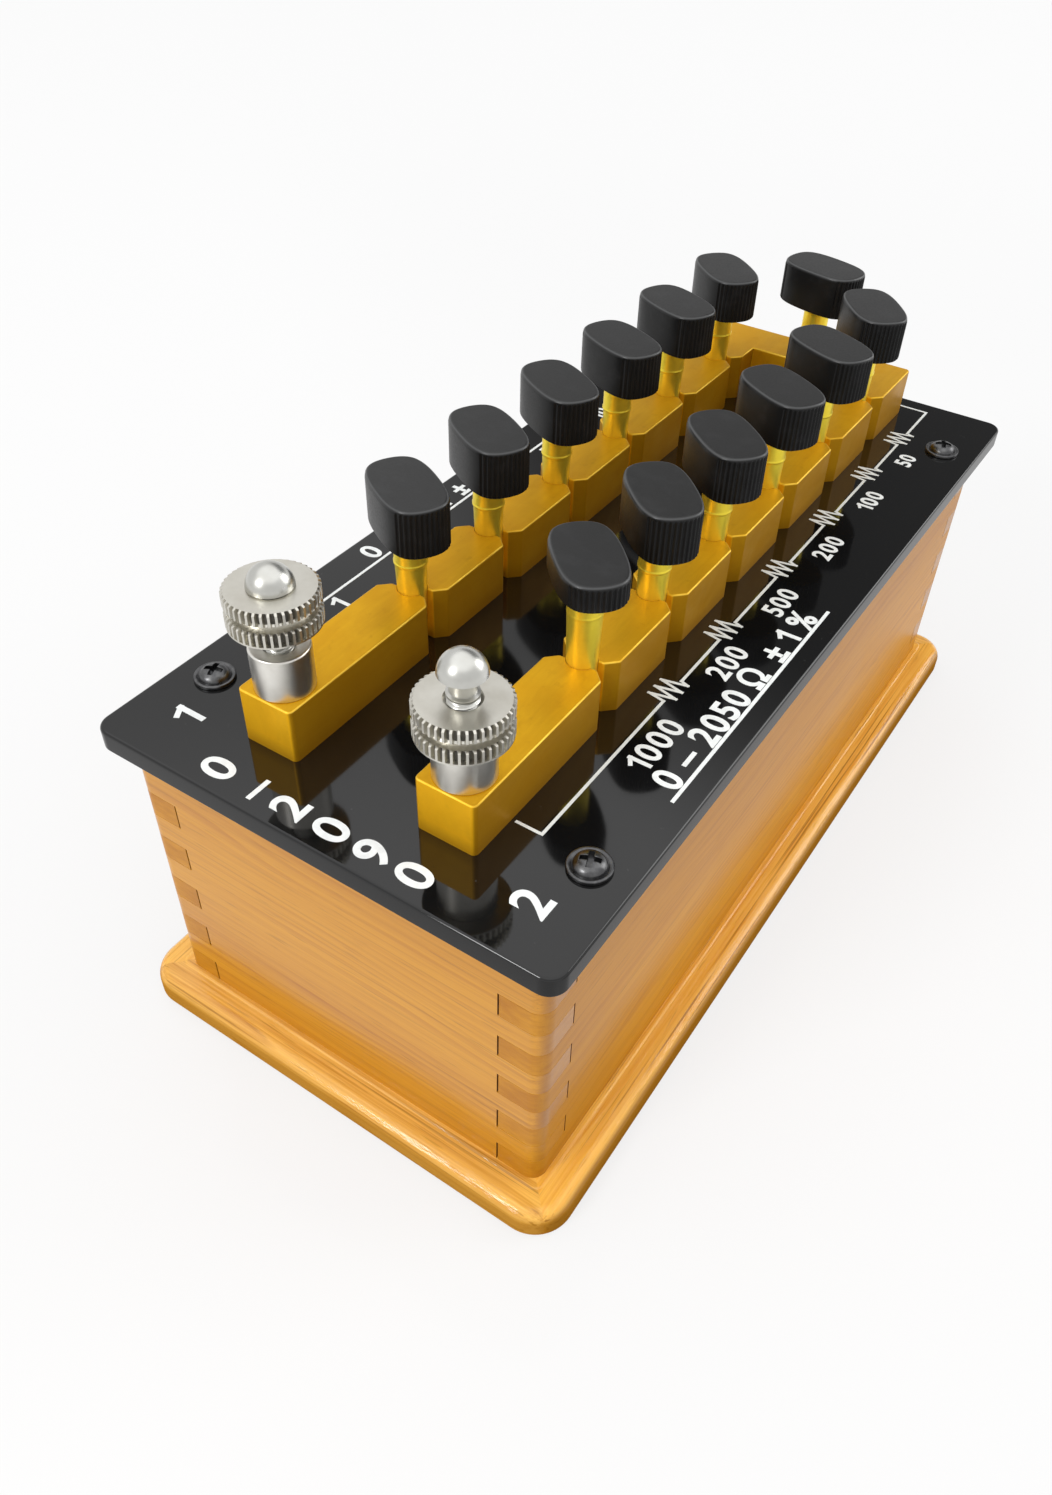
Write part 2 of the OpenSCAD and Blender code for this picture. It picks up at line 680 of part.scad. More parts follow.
base_board();
end_wall(-1);  // front_wall
end_wall(1);  // rear_wall
side_wall(-1);  // left_wall
side_wall(1);  // right_wall
base_screws();
top_panel();
panel_screws();
block_screws();
for (s = SIDES) {
    terminal_block(s[1]);
    for (k = [1 : short_blocks])
        short_block(s[1], k);
    corner_block(s[1]);
    for (k = [1 : gaps]) translate([s[1] * row_x, gap_y(k - 1), 0]) {
        plug_pin(cap_height(s[1], k - 1));
        rotate(cap_turn(s[1], k - 1)) plug_cap(cap_height(s[1], k - 1));
    }
    collar(s[1]);
    stud(s[1]);
    thumb_nut(s[1], s[1] < 0 ? 1 : 0);
}
translate([0, bridge_y, 0]) plug_pin(cap_h);  // rear_plug_pin
translate([0, bridge_y, 0]) rotate(rear_turn) plug_cap(cap_h);  // rear_plug_cap
stud_nuts();
coil_bobbins();
coil_windings();
bobbin_screws();
coil_leads();
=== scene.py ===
import json
from math import asin, atan2, copysign, cos, pi, radians, sin, sqrt, tan, tau

import bmesh
import bpy
from mathutils import Matrix, Vector

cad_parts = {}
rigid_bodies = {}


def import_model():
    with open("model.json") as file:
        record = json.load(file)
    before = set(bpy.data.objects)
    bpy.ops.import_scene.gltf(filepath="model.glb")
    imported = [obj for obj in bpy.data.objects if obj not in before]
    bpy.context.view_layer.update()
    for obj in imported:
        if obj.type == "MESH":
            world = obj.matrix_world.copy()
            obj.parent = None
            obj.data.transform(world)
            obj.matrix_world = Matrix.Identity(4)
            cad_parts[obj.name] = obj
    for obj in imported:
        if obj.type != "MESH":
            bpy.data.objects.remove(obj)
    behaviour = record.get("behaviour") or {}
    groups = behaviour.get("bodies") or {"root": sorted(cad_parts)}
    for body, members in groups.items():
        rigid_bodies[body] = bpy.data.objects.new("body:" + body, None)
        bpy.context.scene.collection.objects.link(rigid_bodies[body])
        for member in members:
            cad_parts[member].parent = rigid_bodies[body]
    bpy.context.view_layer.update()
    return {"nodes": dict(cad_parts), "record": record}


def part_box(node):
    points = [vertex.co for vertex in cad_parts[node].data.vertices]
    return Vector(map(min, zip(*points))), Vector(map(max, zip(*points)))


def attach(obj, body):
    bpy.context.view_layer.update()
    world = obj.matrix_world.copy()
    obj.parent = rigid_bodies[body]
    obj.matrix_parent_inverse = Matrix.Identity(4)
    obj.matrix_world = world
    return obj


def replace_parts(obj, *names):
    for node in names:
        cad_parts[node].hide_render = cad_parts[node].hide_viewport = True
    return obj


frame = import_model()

# Looks of the plug resistance box, in the frame's own axes: +Y away from the terminals, +Z up.
# Outlines and heights are in millimetres and become metres when a piece is made.
MM = 0.001
SIDES = {"left": -1, "right": 1}
GAPS = range(1, 7)
SHORT_BLOCKS = range(1, 6)
BODY_OF = {n: body for body, nodes in frame["record"]["behaviour"]["bodies"].items() for n in nodes}
SLOT_OF = {s["node"]: s["material_slot"] for s in frame["record"]["subparts"]}


def box_mm(node):
    """Lowest and highest corner of a CAD node, in millimetres."""
    low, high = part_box(node)
    return low / MM, high / MM


def middle_mm(node):
    """Middle of a CAD node's box, in millimetres."""
    low, high = box_mm(node)
    return (low + high) / 2


PANEL_LOW, PANEL_HIGH = box_mm("top_panel")
PANEL_TOP = PANEL_HIGH.z
BASE_LOW, BASE_HIGH = box_mm("base_board")
BLOCK_TOP = box_mm("left_block_1")[1].z
ROW_X = middle_mm("right_block_1").x
BAR_HALF = ROW_X - box_mm("right_block_1")[0].x
GAP_HALF = (box_mm("left_block_2")[0].y - box_mm("left_block_1")[1].y) / 2


# Materials. A kind of noise is its detail and its roughness.

FINE, SOFT = (2, 0.5), (3, 0.6)


class Nodes:
    """A node tree with short calls for its texture and number nodes."""

    def __init__(self, tree):
        self.tree = tree

    def feed(self, socket, value):
        """Links an output to a socket, or sets the socket's own value."""
        if isinstance(value, bpy.types.NodeSocket):
            self.tree.links.new(value, socket)
        elif isinstance(value, tuple) and len(value) == 3 and socket.type == "RGBA":
            socket.default_value = (*value, 1)
        else:
            socket.default_value = value

    def add(self, kind, settings=None, ports=None, **sockets):
        """A new node with its settings, and its sockets by number or by name."""
        node = self.tree.nodes.new(kind)
        for key, value in (settings or {}).items():
            setattr(node, key, value)
        for key, value in {**(ports or {}), **sockets}.items():
            self.feed(node.inputs[key], value)
        return node

    def parts(self, vector):
        """The three components of a vector."""
        return self.add("ShaderNodeSeparateXYZ", Vector=vector).outputs

    def where(self, kind):
        """The three components of a texture coordinate; Object is in metres."""
        return self.parts(self.add("ShaderNodeTexCoord").outputs[kind])

    def noise(self, features, kind=SOFT, distortion=0.0):
        """Noise from 0 to 1 with a number of features per metre, one for all axes or one for each."""
        scale = features if isinstance(features, tuple) else (features,) * 3
        place = self.add("ShaderNodeTexCoord").outputs["Object"]
        spread = self.add("ShaderNodeMapping", Vector=place, Scale=scale).outputs["Vector"]
        return self.add("ShaderNodeTexNoise", Vector=spread, Scale=1.0, Detail=kind[0],
                        Roughness=kind[1], Distortion=distortion).outputs["Fac"]

    def math(self, operation, a, b=0.0):
        """Result of a plain operation on one or two numbers."""
        return self.add("ShaderNodeMath", {"operation": operation}, {0: a, 1: b}).outputs[0]

    def times(self, a, b):
        """Product of two numbers."""
        return self.math("MULTIPLY", a, b)

    def span(self, value, low, high, to_low=0.0, to_high=1.0, curve="LINEAR"):
        """Maps a value from one range to another, held at the ends."""
        ends = {"From Min": low, "From Max": high, "To Min": to_low, "To Max": to_high}
        node = self.add("ShaderNodeMapRange", {"interpolation_type": curve}, ends, Value=value)
        return node.outputs["Result"]

    def between(self, value, rise, fall):
        """1 between a rise and a fall of a value, each given by its two ends, and 0 outside."""
        return self.times(self.span(value, *rise), self.span(value, *fall))

    def mix(self, share, a, b):
        """Mix of two colours by a share from 0 to 1."""
        return self.add("ShaderNodeMix", {"data_type": "RGBA"}, {0: share, 6: a, 7: b}).outputs[2]


class Shader(Nodes):
    """A node material around one Principled shader."""

    def __init__(self, name, **sockets):
        self.material = bpy.data.materials.new(name)
        self.material.use_nodes = True
        super().__init__(self.material.node_tree)
        self.bsdf = self.tree.nodes["Principled BSDF"]
        self.set(**sockets)

    def set(self, **sockets):
        """Sets or links sockets of the Principled shader, named with underscores."""
        named = {socket.name.lower(): socket for socket in self.bsdf.inputs}
        for key, value in sockets.items():
            self.feed(named[key.replace("_", " ").lower()], value)

    def bump(self, height, strength, depth_mm, socket="Normal"):
        """Bump from a height between 0 and 1 and its depth in millimetres."""
        node = self.add("ShaderNodeBump", Height=height, Strength=strength, Distance=depth_mm * MM)
        self.set(**{socket: node.outputs["Normal"]})


def scaled(color, *factors):
    """A colour with each channel multiplied by its own factor, or all by one."""
    factors = factors if len(factors) == 3 else factors * 3
    return tuple(c * f for c, f in zip(color, factors))


RINGS_PER_M, RING_DRIFT = 310, 7.0
BAND_SHARE, LATE_SHARE, PORE_SHARE = 0.26, 0.46, 0.34
PORE_SHADE, HAIR_SHADE = 0.5, 0.55


def grain(look, axis, across, pale, dark, fibres, hairs):
    """Colour and relief of wood with its grain along one axis and its rings stacked along another."""

    def along(stretch, fine):
        """Features per metre along and across the grain."""
        return tuple(stretch if i == axis else fine for i in range(3))

    band = look.span(look.noise(along(4, 60)), 0.36, 0.66)
    drift = look.times(look.noise(along(7, 48), FINE), RING_DRIFT)
    turns = look.math("ADD", look.times(look.where("Object")[across], RINGS_PER_M), drift)
    late = look.between(look.math("FRACT", turns), (0.30, 0.90), (1.0, 0.93))
    late = look.times(late, look.span(look.noise(along(14, 210)), 0.36, 0.62))
    fibre = look.span(look.noise(along(30, 2000)), 0.30, 0.70)
    pore = look.span(look.noise(along(90, 1500), FINE), 0.62, 0.72)
    hair = look.span(look.noise(along(11, 1150), FINE), 0.60, 0.68)
    weight = look.math("ADD", look.times(band, BAND_SHARE), look.times(late, LATE_SHARE))
    weight = look.math("ADD", weight, look.times(fibre, fibres))
    tone = look.mix(weight, pale, dark)
    tone = look.mix(look.times(pore, PORE_SHARE), tone, scaled(dark, PORE_SHADE))
    tone = look.mix(look.times(hair, hairs), tone, scaled(dark, HAIR_SHADE))
    relief = look.math("SUBTRACT", look.math("ADD", fibre, late), pore)
    return tone, relief


def end_grain(look, axis, pale, dark):
    """Browner colour of the faces across the grain, and the share of it on a face."""
    share = look.span(look.math("ABSOLUTE", look.where("Normal")[axis]), 0.55, 0.85)
    board = look.span(look.noise((60, 60, 95), FINE), 0.35, 0.65, 0.0, 0.55)
    rings = look.span(look.noise((260, 260, 900)), 0.35, 0.65, 0.0, 0.45)
    return look.mix(board, look.mix(rings, pale, dark), dark), share


def varnish(look, tone, relief, ripple, ripple_mm, low_gloss, high_gloss):
    """Clear varnish over wood: uneven gloss and ripples left by the brush."""
    look.set(Base_Color=tone)
    look.set(Coat_Roughness=look.span(look.noise(45), 0.3, 0.7, low_gloss, high_gloss))
    look.bump(relief, strength=0.25, depth_mm=0.05)
    look.bump(ripple, strength=1.0, depth_mm=ripple_mm, socket="Coat_Normal")


def board_wood(name, axis, pale, dark, coat):
    """Varnished case wood with end grain on the fingers' ends, and painted shade on the long sides, deepest
    towards the front corner and up under the panel.
    """
    look = Shader(name, Roughness=0.5, Specular_IOR_Level=0.1, Coat_Weight=coat, Coat_Roughness=0.17)
    tone, relief = grain(look, axis, 2, pale, dark, fibres=0.30, hairs=0.24)
    ends, share = end_grain(look, axis, scaled(pale, 0.90, 0.88, 1.1), scaled(dark, 0.84, 0.82, 1.4))
    tone = look.mix(share, tone, ends)
    # Painted shade: the long sides darken towards the front corner and up towards the panel above them.
    _, y, z = look.where("Object")
    reach_mm, foot_mm = 72.48, 16.0
    front, reach = BASE_LOW.y * MM, (BASE_LOW.y + reach_mm) * MM
    near = look.span(y, front, reach, 1.0, 0.0, "SMOOTHSTEP")
    high = look.span(z, foot_mm * MM, PANEL_LOW.z * MM, 0.0, 1.0, "SMOOTHSTEP")
    sideways = look.span(look.math("ABSOLUTE", look.where("Normal")[0]), 0.45, 0.90, 0.0, 0.5)
    painted_shade = look.times(look.math("MAXIMUM", near, high), sideways)
    tone = look.mix(painted_shade, tone, scaled(dark, 0.62))
    varnish(look, tone, relief, relief, ripple_mm=0.006, low_gloss=0.12, high_gloss=0.22)
    return look.material


def base_wood(name, pale, dark):
    """Base wood whose grain follows each edge and turns at the corners, dull on its sides, with painted
    shade on its sides and its left and right strips painted lighter.
    """
    look = Shader(name, Roughness=0.5, Specular_IOR_Level=0.0, Coat_Weight=0.8, Coat_Roughness=0.1)
    across, _, upward = look.where("Normal")
    look.set(Coat_Weight=look.span(upward, 0.32, 0.68))
    # Painted shade: the upright sides darken, the left and right faces more.
    side = look.span(upward, 0.66, 0.18, 0.0, 0.7)
    flank_painted_shade = look.span(look.math("ABSOLUTE", across), 0.60, 0.85, 0.0, 0.7)
    x, y, _ = look.where("Object")
    past = look.math("SUBTRACT", look.math("ABSOLUTE", y), look.math("ABSOLUTE", x))
    mitre, blur_mm = BASE_HIGH.y - BASE_HIGH.x, 0.2
    turned = look.span(past, (mitre - blur_mm) * MM, (mitre + blur_mm) * MM)
    # Painted light: the left and right strips of the top take paler copies of the grain colours.
    bright, warm = scaled(pale, 1.0, 1.02, 0.95), scaled(dark, 1.4, 1.5, 1.8)
    side_tone_painted_light, side_relief = grain(look, 1, 0, bright, warm, fibres=0.55, hairs=0.95)
    end_tone, end_relief = grain(look, 0, 1, pale, dark, fibres=0.55, hairs=0.60)
    relief = look.span(turned, 0.0, 1.0, side_relief, end_relief)
    side_ripple, end_ripple = look.noise((1100, 80, 1100)), look.noise((80, 1100, 1100))
    ripple = look.span(turned, 0.0, 1.0, side_ripple, end_ripple)
    tone = look.mix(turned, side_tone_painted_light, end_tone)
    tone = look.mix(side, tone, scaled(dark, 0.62))
    tone = look.mix(flank_painted_shade, tone, scaled(dark, 0.48))
    varnish(look, tone, relief, ripple, ripple_mm=0.22, low_gloss=0.06, high_gloss=0.13)
    return look.material


def brass(name, color, metallic, low_gloss, high_gloss, tarnish):
    """Satin brass under old lacquer, with tarnish clouds, smears, small spots and uneven gloss."""
    look = Shader(name, Metallic=metallic, Specular_IOR_Level=0.06)
    cloud = look.noise(75, (4, 0.62), 0.5)
    layers = (
        (look.noise((1300, 70, 1300), FINE), 0.35, 0.70, 0.4, (0.80, 0.74, 0.6)),
        (cloud, 0.38, 0.66, 0.9, (0.86, 0.78, 0.6)),
        (look.noise((240, 55, 130), (4, 0.65), 0.8), 0.44, 0.72, 0.55, (0.70, 0.60, 0.5)),
        (look.noise(420, (3, 0.55)), 0.60, 0.74, 0.35, (0.55, 0.44, 0.4)),
    )
    tone = color
    for pattern, low, high, share, shade in layers:
        cover = look.span(pattern, low, high, 0.0, share * tarnish)
        tone = look.mix(cover, tone, scaled(color, *shade))
    look.set(Roughness=look.span(cloud, 0.32, 0.68, low_gloss, high_gloss))
    look.bump(look.noise(1900, FINE), strength=0.10, depth_mm=0.012 * tarnish)
    return look, tone


def pin_brass(color):
    """Brass of the plugs, kept bright by use."""
    look, tone = brass("brass_pin", color, metallic=0.75, low_gloss=0.30, high_gloss=0.40, tarnish=0.3)
    look.set(Base_Color=tone)
    return look.material


def block_brass(color):
    """Brass of the blocks: fronts painted lighter, tops darker, painted shade on the long sides and feet,
    and edges paler from wear and a painted highlight.
    """
    look, tone = brass("brass_block", color, metallic=0.45, low_gloss=0.34, high_gloss=0.48, tarnish=1.0)
    across, along, upward = look.where("Normal")
    height, foot_mm = look.where("Object")[2], 3.5
    # Painted light and shade by face direction: fronts lighter, tops darker, long sides and the feet by the
    # panel in painted shade.
    front = look.span(along, -0.60, -0.95, 0.0, 0.6)
    top = look.span(upward, 0.80, 0.98, 0.0, 0.5)
    side = look.span(look.math("ABSOLUTE", across), 0.42, 0.74, 0.0, 0.76)
    foot = look.span(height, PANEL_TOP * MM, (PANEL_TOP + foot_mm) * MM, 0.55, 0.0)
    # Edges paler from wear and as a painted highlight along the eased edges.
    worn = look.span(look.noise(160), 0.30, 0.65, 0.25, 0.85)
    edge = look.times(look.between(upward, (0.20, 0.45), (0.97, 0.85)), worn)
    tone = look.mix(front, tone, scaled(color, 1.06, 1.02, 1.0))
    tone = look.mix(top, tone, scaled(color, 0.62, 0.60, 1.0))
    tone = look.mix(side, tone, scaled(color, 0.42, 0.36, 0.4))
    tone = look.mix(foot, tone, scaled(color, 0.38, 0.30, 0.4))
    tone = look.mix(edge, tone, scaled(color, 1.08, 1.35, 6.0))
    look.set(Base_Color=tone)
    return look.material


def nickel(name, color, low_gloss, high_gloss, skin_mm):
    """Nickel plate: fine satin grain with faint warm clouds."""
    look = Shader(name, Metallic=1.0)
    cloud = look.noise(160)
    dull = scaled(color, 0.85, 0.84, 0.82)
    look.set(Base_Color=look.mix(look.span(cloud, 0.35, 0.7), color, dull))
    look.set(Roughness=look.span(cloud, 0.3, 0.7, low_gloss, high_gloss))
    look.bump(look.noise(2800, FINE), strength=0.15, depth_mm=skin_mm)
    return look.material


def cap_plastic():
    """Moulded black plastic with a fine matt skin, paler scuffs, a painted highlight on its rims, and dull
    on its fluted sides.
    """
    black, scuffed, worn = (0.0085, 0.0085, 0.0086), (0.016, 0.016, 0.0165), (0.050, 0.051, 0.052)
    look = Shader("cap_plastic", Specular_IOR_Level=0.3)
    skin = look.noise(2300)
    scuff = look.span(look.noise((170, 240, 170), (4, 0.65)), 0.52, 0.75)
    upward = look.where("Normal")[2]
    # Painted highlight: the rounded rims take the third, paler colour.
    rim = look.between(upward, (0.42, 0.62), (0.95, 0.82))
    look.set(Base_Color=look.mix(rim, look.mix(scuff, black, scuffed), worn))
    look.set(Specular_IOR_Level=look.span(upward, 0.1, 0.4, 0.14, 0.43))
    look.set(Roughness=look.span(skin, 0.3, 0.7, 0.28, 0.40))
    look.bump(skin, strength=0.22, depth_mm=0.015)
    return look.material


def panel_plastic():
    """Polished black panel with faint smears and dust specks, duller on its sides."""
    black, dusty = (0.0040, 0.0040, 0.0042), (0.035, 0.035, 0.035)
    look = Shader("panel_plastic", Specular_IOR_Level=0.5)
    across, _, upward = look.where("Normal")
    gloss = look.span(upward, 0.05, 0.35, 0.20, 0.50)
    smear = look.noise((26, 14, 26), (4, 0.6), 0.6)
    dust = look.span(look.noise(900, FINE), 0.74, 0.82)
    look.set(Base_Color=look.mix(dust, black, dusty))
    look.set(Specular_IOR_Level=look.span(look.math("ABSOLUTE", across), 0.80, 0.98, gloss, 0.08))
    look.set(Roughness=look.span(smear, 0.35, 0.7, 0.04, 0.10))
    return look.material


def screw_black():
    """Blackened screw steel, a little worn."""
    dark, worn = (0.10, 0.10, 0.103), (0.17, 0.17, 0.17)
    look = Shader("screw_black", Metallic=1.0)
    wear = look.noise(700)
    look.set(Base_Color=look.mix(look.span(wear, 0.45, 0.75), dark, worn))
    look.set(Roughness=look.span(wear, 0.3, 0.7, 0.26, 0.36))
    look.bump(wear, strength=0.10, depth_mm=0.015)
    return look.material


def mark_paint(name, color):
    """Screen-printed paint, a little uneven."""
    look = Shader(name, Roughness=0.5)
    patch = look.span(look.noise(500), 0.4, 0.7)
    look.set(Base_Color=look.mix(patch, color, scaled(color, 0.88)))
    return look.material


def mottled(name, color, features, metallic, rough):
    """Plain material with uneven tone and gloss, for hidden pieces and grooves."""
    look = Shader(name, Metallic=metallic)
    patch = look.noise(features)
    look.set(Base_Color=look.mix(look.span(patch, 0.35, 0.7), color, scaled(color, 0.55)))
    look.set(Roughness=look.span(patch, 0.3, 0.7, rough, rough + 0.15))
    look.bump(patch, strength=0.2, depth_mm=0.03)
    return look.material


CASE_PALE, CASE_DARK = (0.76, 0.345, 0.014), (0.52, 0.182, 0.004)
WOOD_ACROSS = board_wood("wood_across", 0, scaled(CASE_PALE, 0.86), scaled(CASE_DARK, 0.84), coat=0.65)
WOOD_ALONG = board_wood("wood_along", 1, scaled(CASE_PALE, 0.87), scaled(CASE_DARK, 0.85), coat=0.30)
WOOD_BASE = base_wood("wood_base", (0.93, 0.53, 0.11), (0.52, 0.21, 0.016))
BRASS_BLOCK = block_brass((0.90, 0.49, 0.014))
BRASS_PIN = pin_brass((0.99, 0.79, 0.07))
NICKEL_SATIN = nickel("nickel_satin", (0.67, 0.65, 0.59), low_gloss=0.28, high_gloss=0.38, skin_mm=0.010)
NICKEL_TURNED = nickel("nickel_turned", (0.80, 0.78, 0.73), low_gloss=0.28, high_gloss=0.36, skin_mm=0.004)
NICKEL_BRIGHT = nickel("nickel_bright", (0.62, 0.62, 0.59), low_gloss=0.26, high_gloss=0.32, skin_mm=0.003)
CAP = cap_plastic()
PANEL = panel_plastic()
SCREW = screw_black()
MARK_WHITE = mark_paint("mark_white", (0.84, 0.87, 0.87))
MARK_LINE = mark_paint("mark_line", (0.77, 0.80, 0.78))
HIDDEN = {
    "steel": mottled("screw_steel", (0.42, 0.42, 0.43), 500, metallic=1.0, rough=0.32),
    "bobbin_wood": mottled("bobbin_wood", (0.45, 0.27, 0.12), (300, 300, 20), metallic=0.0, rough=0.5),
    "winding_silk": mottled("winding_silk", (0.05, 0.20, 0.07), (20, 20, 2500), metallic=0.0, rough=0.55),
    "lead_copper": mottled("lead_copper", (0.72, 0.34, 0.17), 900, metallic=1.0, rough=0.3),
}


# Shapes

def arc(centre, radius, start, sweep, steps):
    """Points on an arc round a centre, with the angles in radians."""
    cx, cy = centre[:2]
    angles = [start + sweep * i / steps for i in range(steps + 1)]
    return [(cx + radius * cos(a), cy + radius * sin(a)) for a in angles]


def turn_between(centre, start, end):
    """First angle and the shorter sweep from one point to another round a centre."""
    a0 = atan2(start[1] - centre[1], start[0] - centre[0])
    a1 = atan2(end[1] - centre[1], end[0] - centre[0])
    return a0, (a1 - a0 + pi) % tau - pi


def filleted(corners, steps=5):
    """Closed outline through corners (x, y, radius), each rounded by its own radius."""
    points = []
    for i, (x, y, radius) in enumerate(corners):
        here = Vector((x, y))
        back = (Vector(corners[i - 1][:2]) - here).normalized()
        ahead = (Vector(corners[(i + 1) % len(corners)][:2]) - here).normalized()
        if radius <= 0:
            points.append((x, y))
            continue
        half = back.angle(ahead) / 2
        reach = radius / tan(half)
        centre = here + (back + ahead).normalized() * (radius / sin(half))
        turn = turn_between(centre, here + back * reach, here + ahead * reach)
        points += arc(centre, radius, *turn, steps)
    return points


def notched(start, end, centre, radius, steps=14):
    """Corners of a straight edge with a round bite taken out of it by a circle beyond the edge."""
    start, end, centre = Vector(start), Vector(end), Vector(centre)
    along = (end - start).normalized()
    foot = start + along * (centre - start).dot(along)
    half = sqrt(radius ** 2 - (centre - foot).length_squared)
    first, last = foot - along * half, foot + along * half
    return [(x, y, 0) for x, y in arc(centre, radius, *turn_between(centre, first, last), steps)]


def round_box(low, high, radius, steps=10):
    """Outline of a rectangle with round corners."""
    corners = [(low[0], low[1]), (high[0], low[1]), (high[0], high[1]), (low[0], high[1])]
    return filleted([(x, y, radius) for x, y in corners], steps)


def inset(points, distance):
    """An outline, counted anticlockwise, moved inwards by a small distance."""
    moved = []
    for i, point in enumerate(points):
        here, back, ahead = Vector(point), Vector(points[i - 1]), Vector(points[(i + 1) % len(points)])
        n0 = Vector((back.y - here.y, here.x - back.x)).normalized()
        n1 = Vector((here.y - ahead.y, ahead.x - here.x)).normalized()
        moved.append(tuple(here + (n0 + n1) * (distance / (1 + n0.dot(n1)))))
    return moved


def quarter_turn(steps):
    """Evenly spaced angles of a quarter turn, with both of its ends."""
    return [pi / 2 * i / steps for i in range(steps + 1)]


def eased(outline, low, high, top, bottom=0.0, steps=4):
    """Levels (height, outline) of an upright prism with rounded top and bottom edges."""
    turns = quarter_turn(steps)
    levels = [(low, outline)]
    if bottom:
        levels = [(low + bottom * (1 - cos(t)), inset(outline, bottom * (1 - sin(t))))
                  for t in turns]
    return levels + [
        (high - top * (1 - sin(t)), inset(outline, top * (1 - cos(t)))) for t in turns]


def prism(levels):
    """Closed mesh through outlines with equal counts of points at the given heights."""
    bm = bmesh.new()
    rings = [[bm.verts.new((x, y, z)) for x, y in outline] for z, outline in levels]
    for lower, upper in zip(rings, rings[1:]):
        for i in range(len(lower)):
            j = (i + 1) % len(lower)
            bm.faces.new((lower[i], lower[j], upper[j], upper[i]))
    bm.faces.new(reversed(rings[0]))
    bm.faces.new(rings[-1])
    return bm


def circle(centre, radius, count):
    """Outline of a circle with the given number of points."""
    return arc(centre, radius, 0, tau * (1 - 1 / count), count - 1)


def lathe(centre, profile, count=72):
    """Levels of a turned piece on an upright axis, from (radius, height) points."""
    return [(z, circle(centre, radius, count)) for radius, z in profile]


def ring(centre, section_at, angles):
    """Closed mesh of a ring: section_at(angle) gives the (radius, height) loop at that angle."""
    bm = bmesh.new()
    loops = []
    for a in angles:
        loops.append([bm.verts.new((centre.x + r * cos(a), centre.y + r * sin(a), z))
                      for r, z in section_at(a)])
    for i, here in enumerate(loops):
        there = loops[(i + 1) % len(loops)]
        for j in range(len(here)):
            k = (j + 1) % len(here)
            bm.faces.new((here[j], there[j], there[k], here[k]))
    return bm


def drop(thing):
    """Removes a helper object and its data."""
    data = thing.data
    bpy.data.objects.remove(thing)
    bpy.data.batch_remove([data])


def linked(name, data):
    """A new object with the given data, in the scene."""
    made = bpy.data.objects.new(name, data)
    bpy.context.scene.collection.objects.link(made)
    return made


def mesh_of(name, bm):
    """A mesh made from a bmesh, which is freed."""
    mesh = bpy.data.meshes.new(name)
    bm.to_mesh(mesh)
    bm.free()
    return mesh


def evaluated(thing):
    """Mesh of an object after its modifiers."""
    return bpy.data.meshes.new_from_object(thing.evaluated_get(bpy.context.evaluated_depsgraph_get()))


def carved(body, tool, edge_mm):
    """A body with a tool cut away and its sharp edges eased."""
    bmesh.ops.recalc_face_normals(body, faces=body.faces)
    bmesh.ops.recalc_face_normals(tool, faces=tool.faces)
    blank, cutter = linked("blank", mesh_of("blank", body)), linked("cutter", mesh_of("cutter", tool))
    cut = blank.modifiers.new("cut", "BOOLEAN")
    cut.operation = "DIFFERENCE"
    cut.solver = "EXACT"
    cut.object = cutter
    edge = blank.modifiers.new("edge", "BEVEL")
    edge.width = edge_mm
    edge.segments = 2
    edge.limit_method = "ANGLE"
    edge.angle_limit = radians(38)
    mesh = evaluated(blank)
    bm = bmesh.new()
    bm.from_mesh(mesh)
    bpy.data.meshes.remove(mesh)
    drop(blank)
    drop(cutter)
    return bm


def piece(name, bm, material, node, sharp_deg=40):
    """Makes a mesh in millimetres a piece with the given material that rides with a CAD node's body."""
    bmesh.ops.scale(bm, vec=(MM, MM, MM), verts=bm.verts)
    bmesh.ops.recalc_face_normals(bm, faces=bm.faces)
    mesh = mesh_of(name, bm)
    mesh.shade_smooth()
    mesh.set_sharp_from_angle(angle=radians(sharp_deg))
    mesh.materials.append(material)
    made = linked(name, mesh)
    weighted = made.modifiers.new("flat_faces", "WEIGHTED_NORMAL")
    weighted.keep_sharp = True
    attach(made, BODY_OF[node])
    return made


def solid_mm(node, weld_mm=0.002):
    """A copy of a CAD node's mesh in millimetres, with its doubled corners welded."""
    bm = bmesh.new()
    bm.from_mesh(frame["nodes"][node].data)
    bmesh.ops.scale(bm, vec=(1 / MM,) * 3, verts=bm.verts)
    bmesh.ops.remove_doubles(bm, verts=bm.verts, dist=weld_mm)
    return bm


def loose_centres(node):
    """Middles, in plan, of the separate solids of a CAD node, in millimetres."""
    bm = solid_mm(node)
    waiting = set(bm.verts)
    centres = []
    while waiting:
        stack, places = [waiting.pop()], []
        while stack:
            vert = stack.pop()
            places.append(vert.co.xy)
            near = {edge.other_vert(vert) for edge in vert.link_edges} & waiting
            waiting -= near
            stack += near
        ends = [(min(p[i] for p in places), max(p[i] for p in places)) for i in range(2)]
        centres.append(Vector([(a + b) / 2 for a, b in ends]))
    bm.free()
    return sorted(centres, key=tuple)


def joined(solids):
    """One mesh that holds several."""
    whole = bmesh.new()
    for solid in solids:
        mesh = mesh_of("solid", solid)
        whole.from_mesh(mesh)
        bpy.data.meshes.remove(mesh)
    return whole


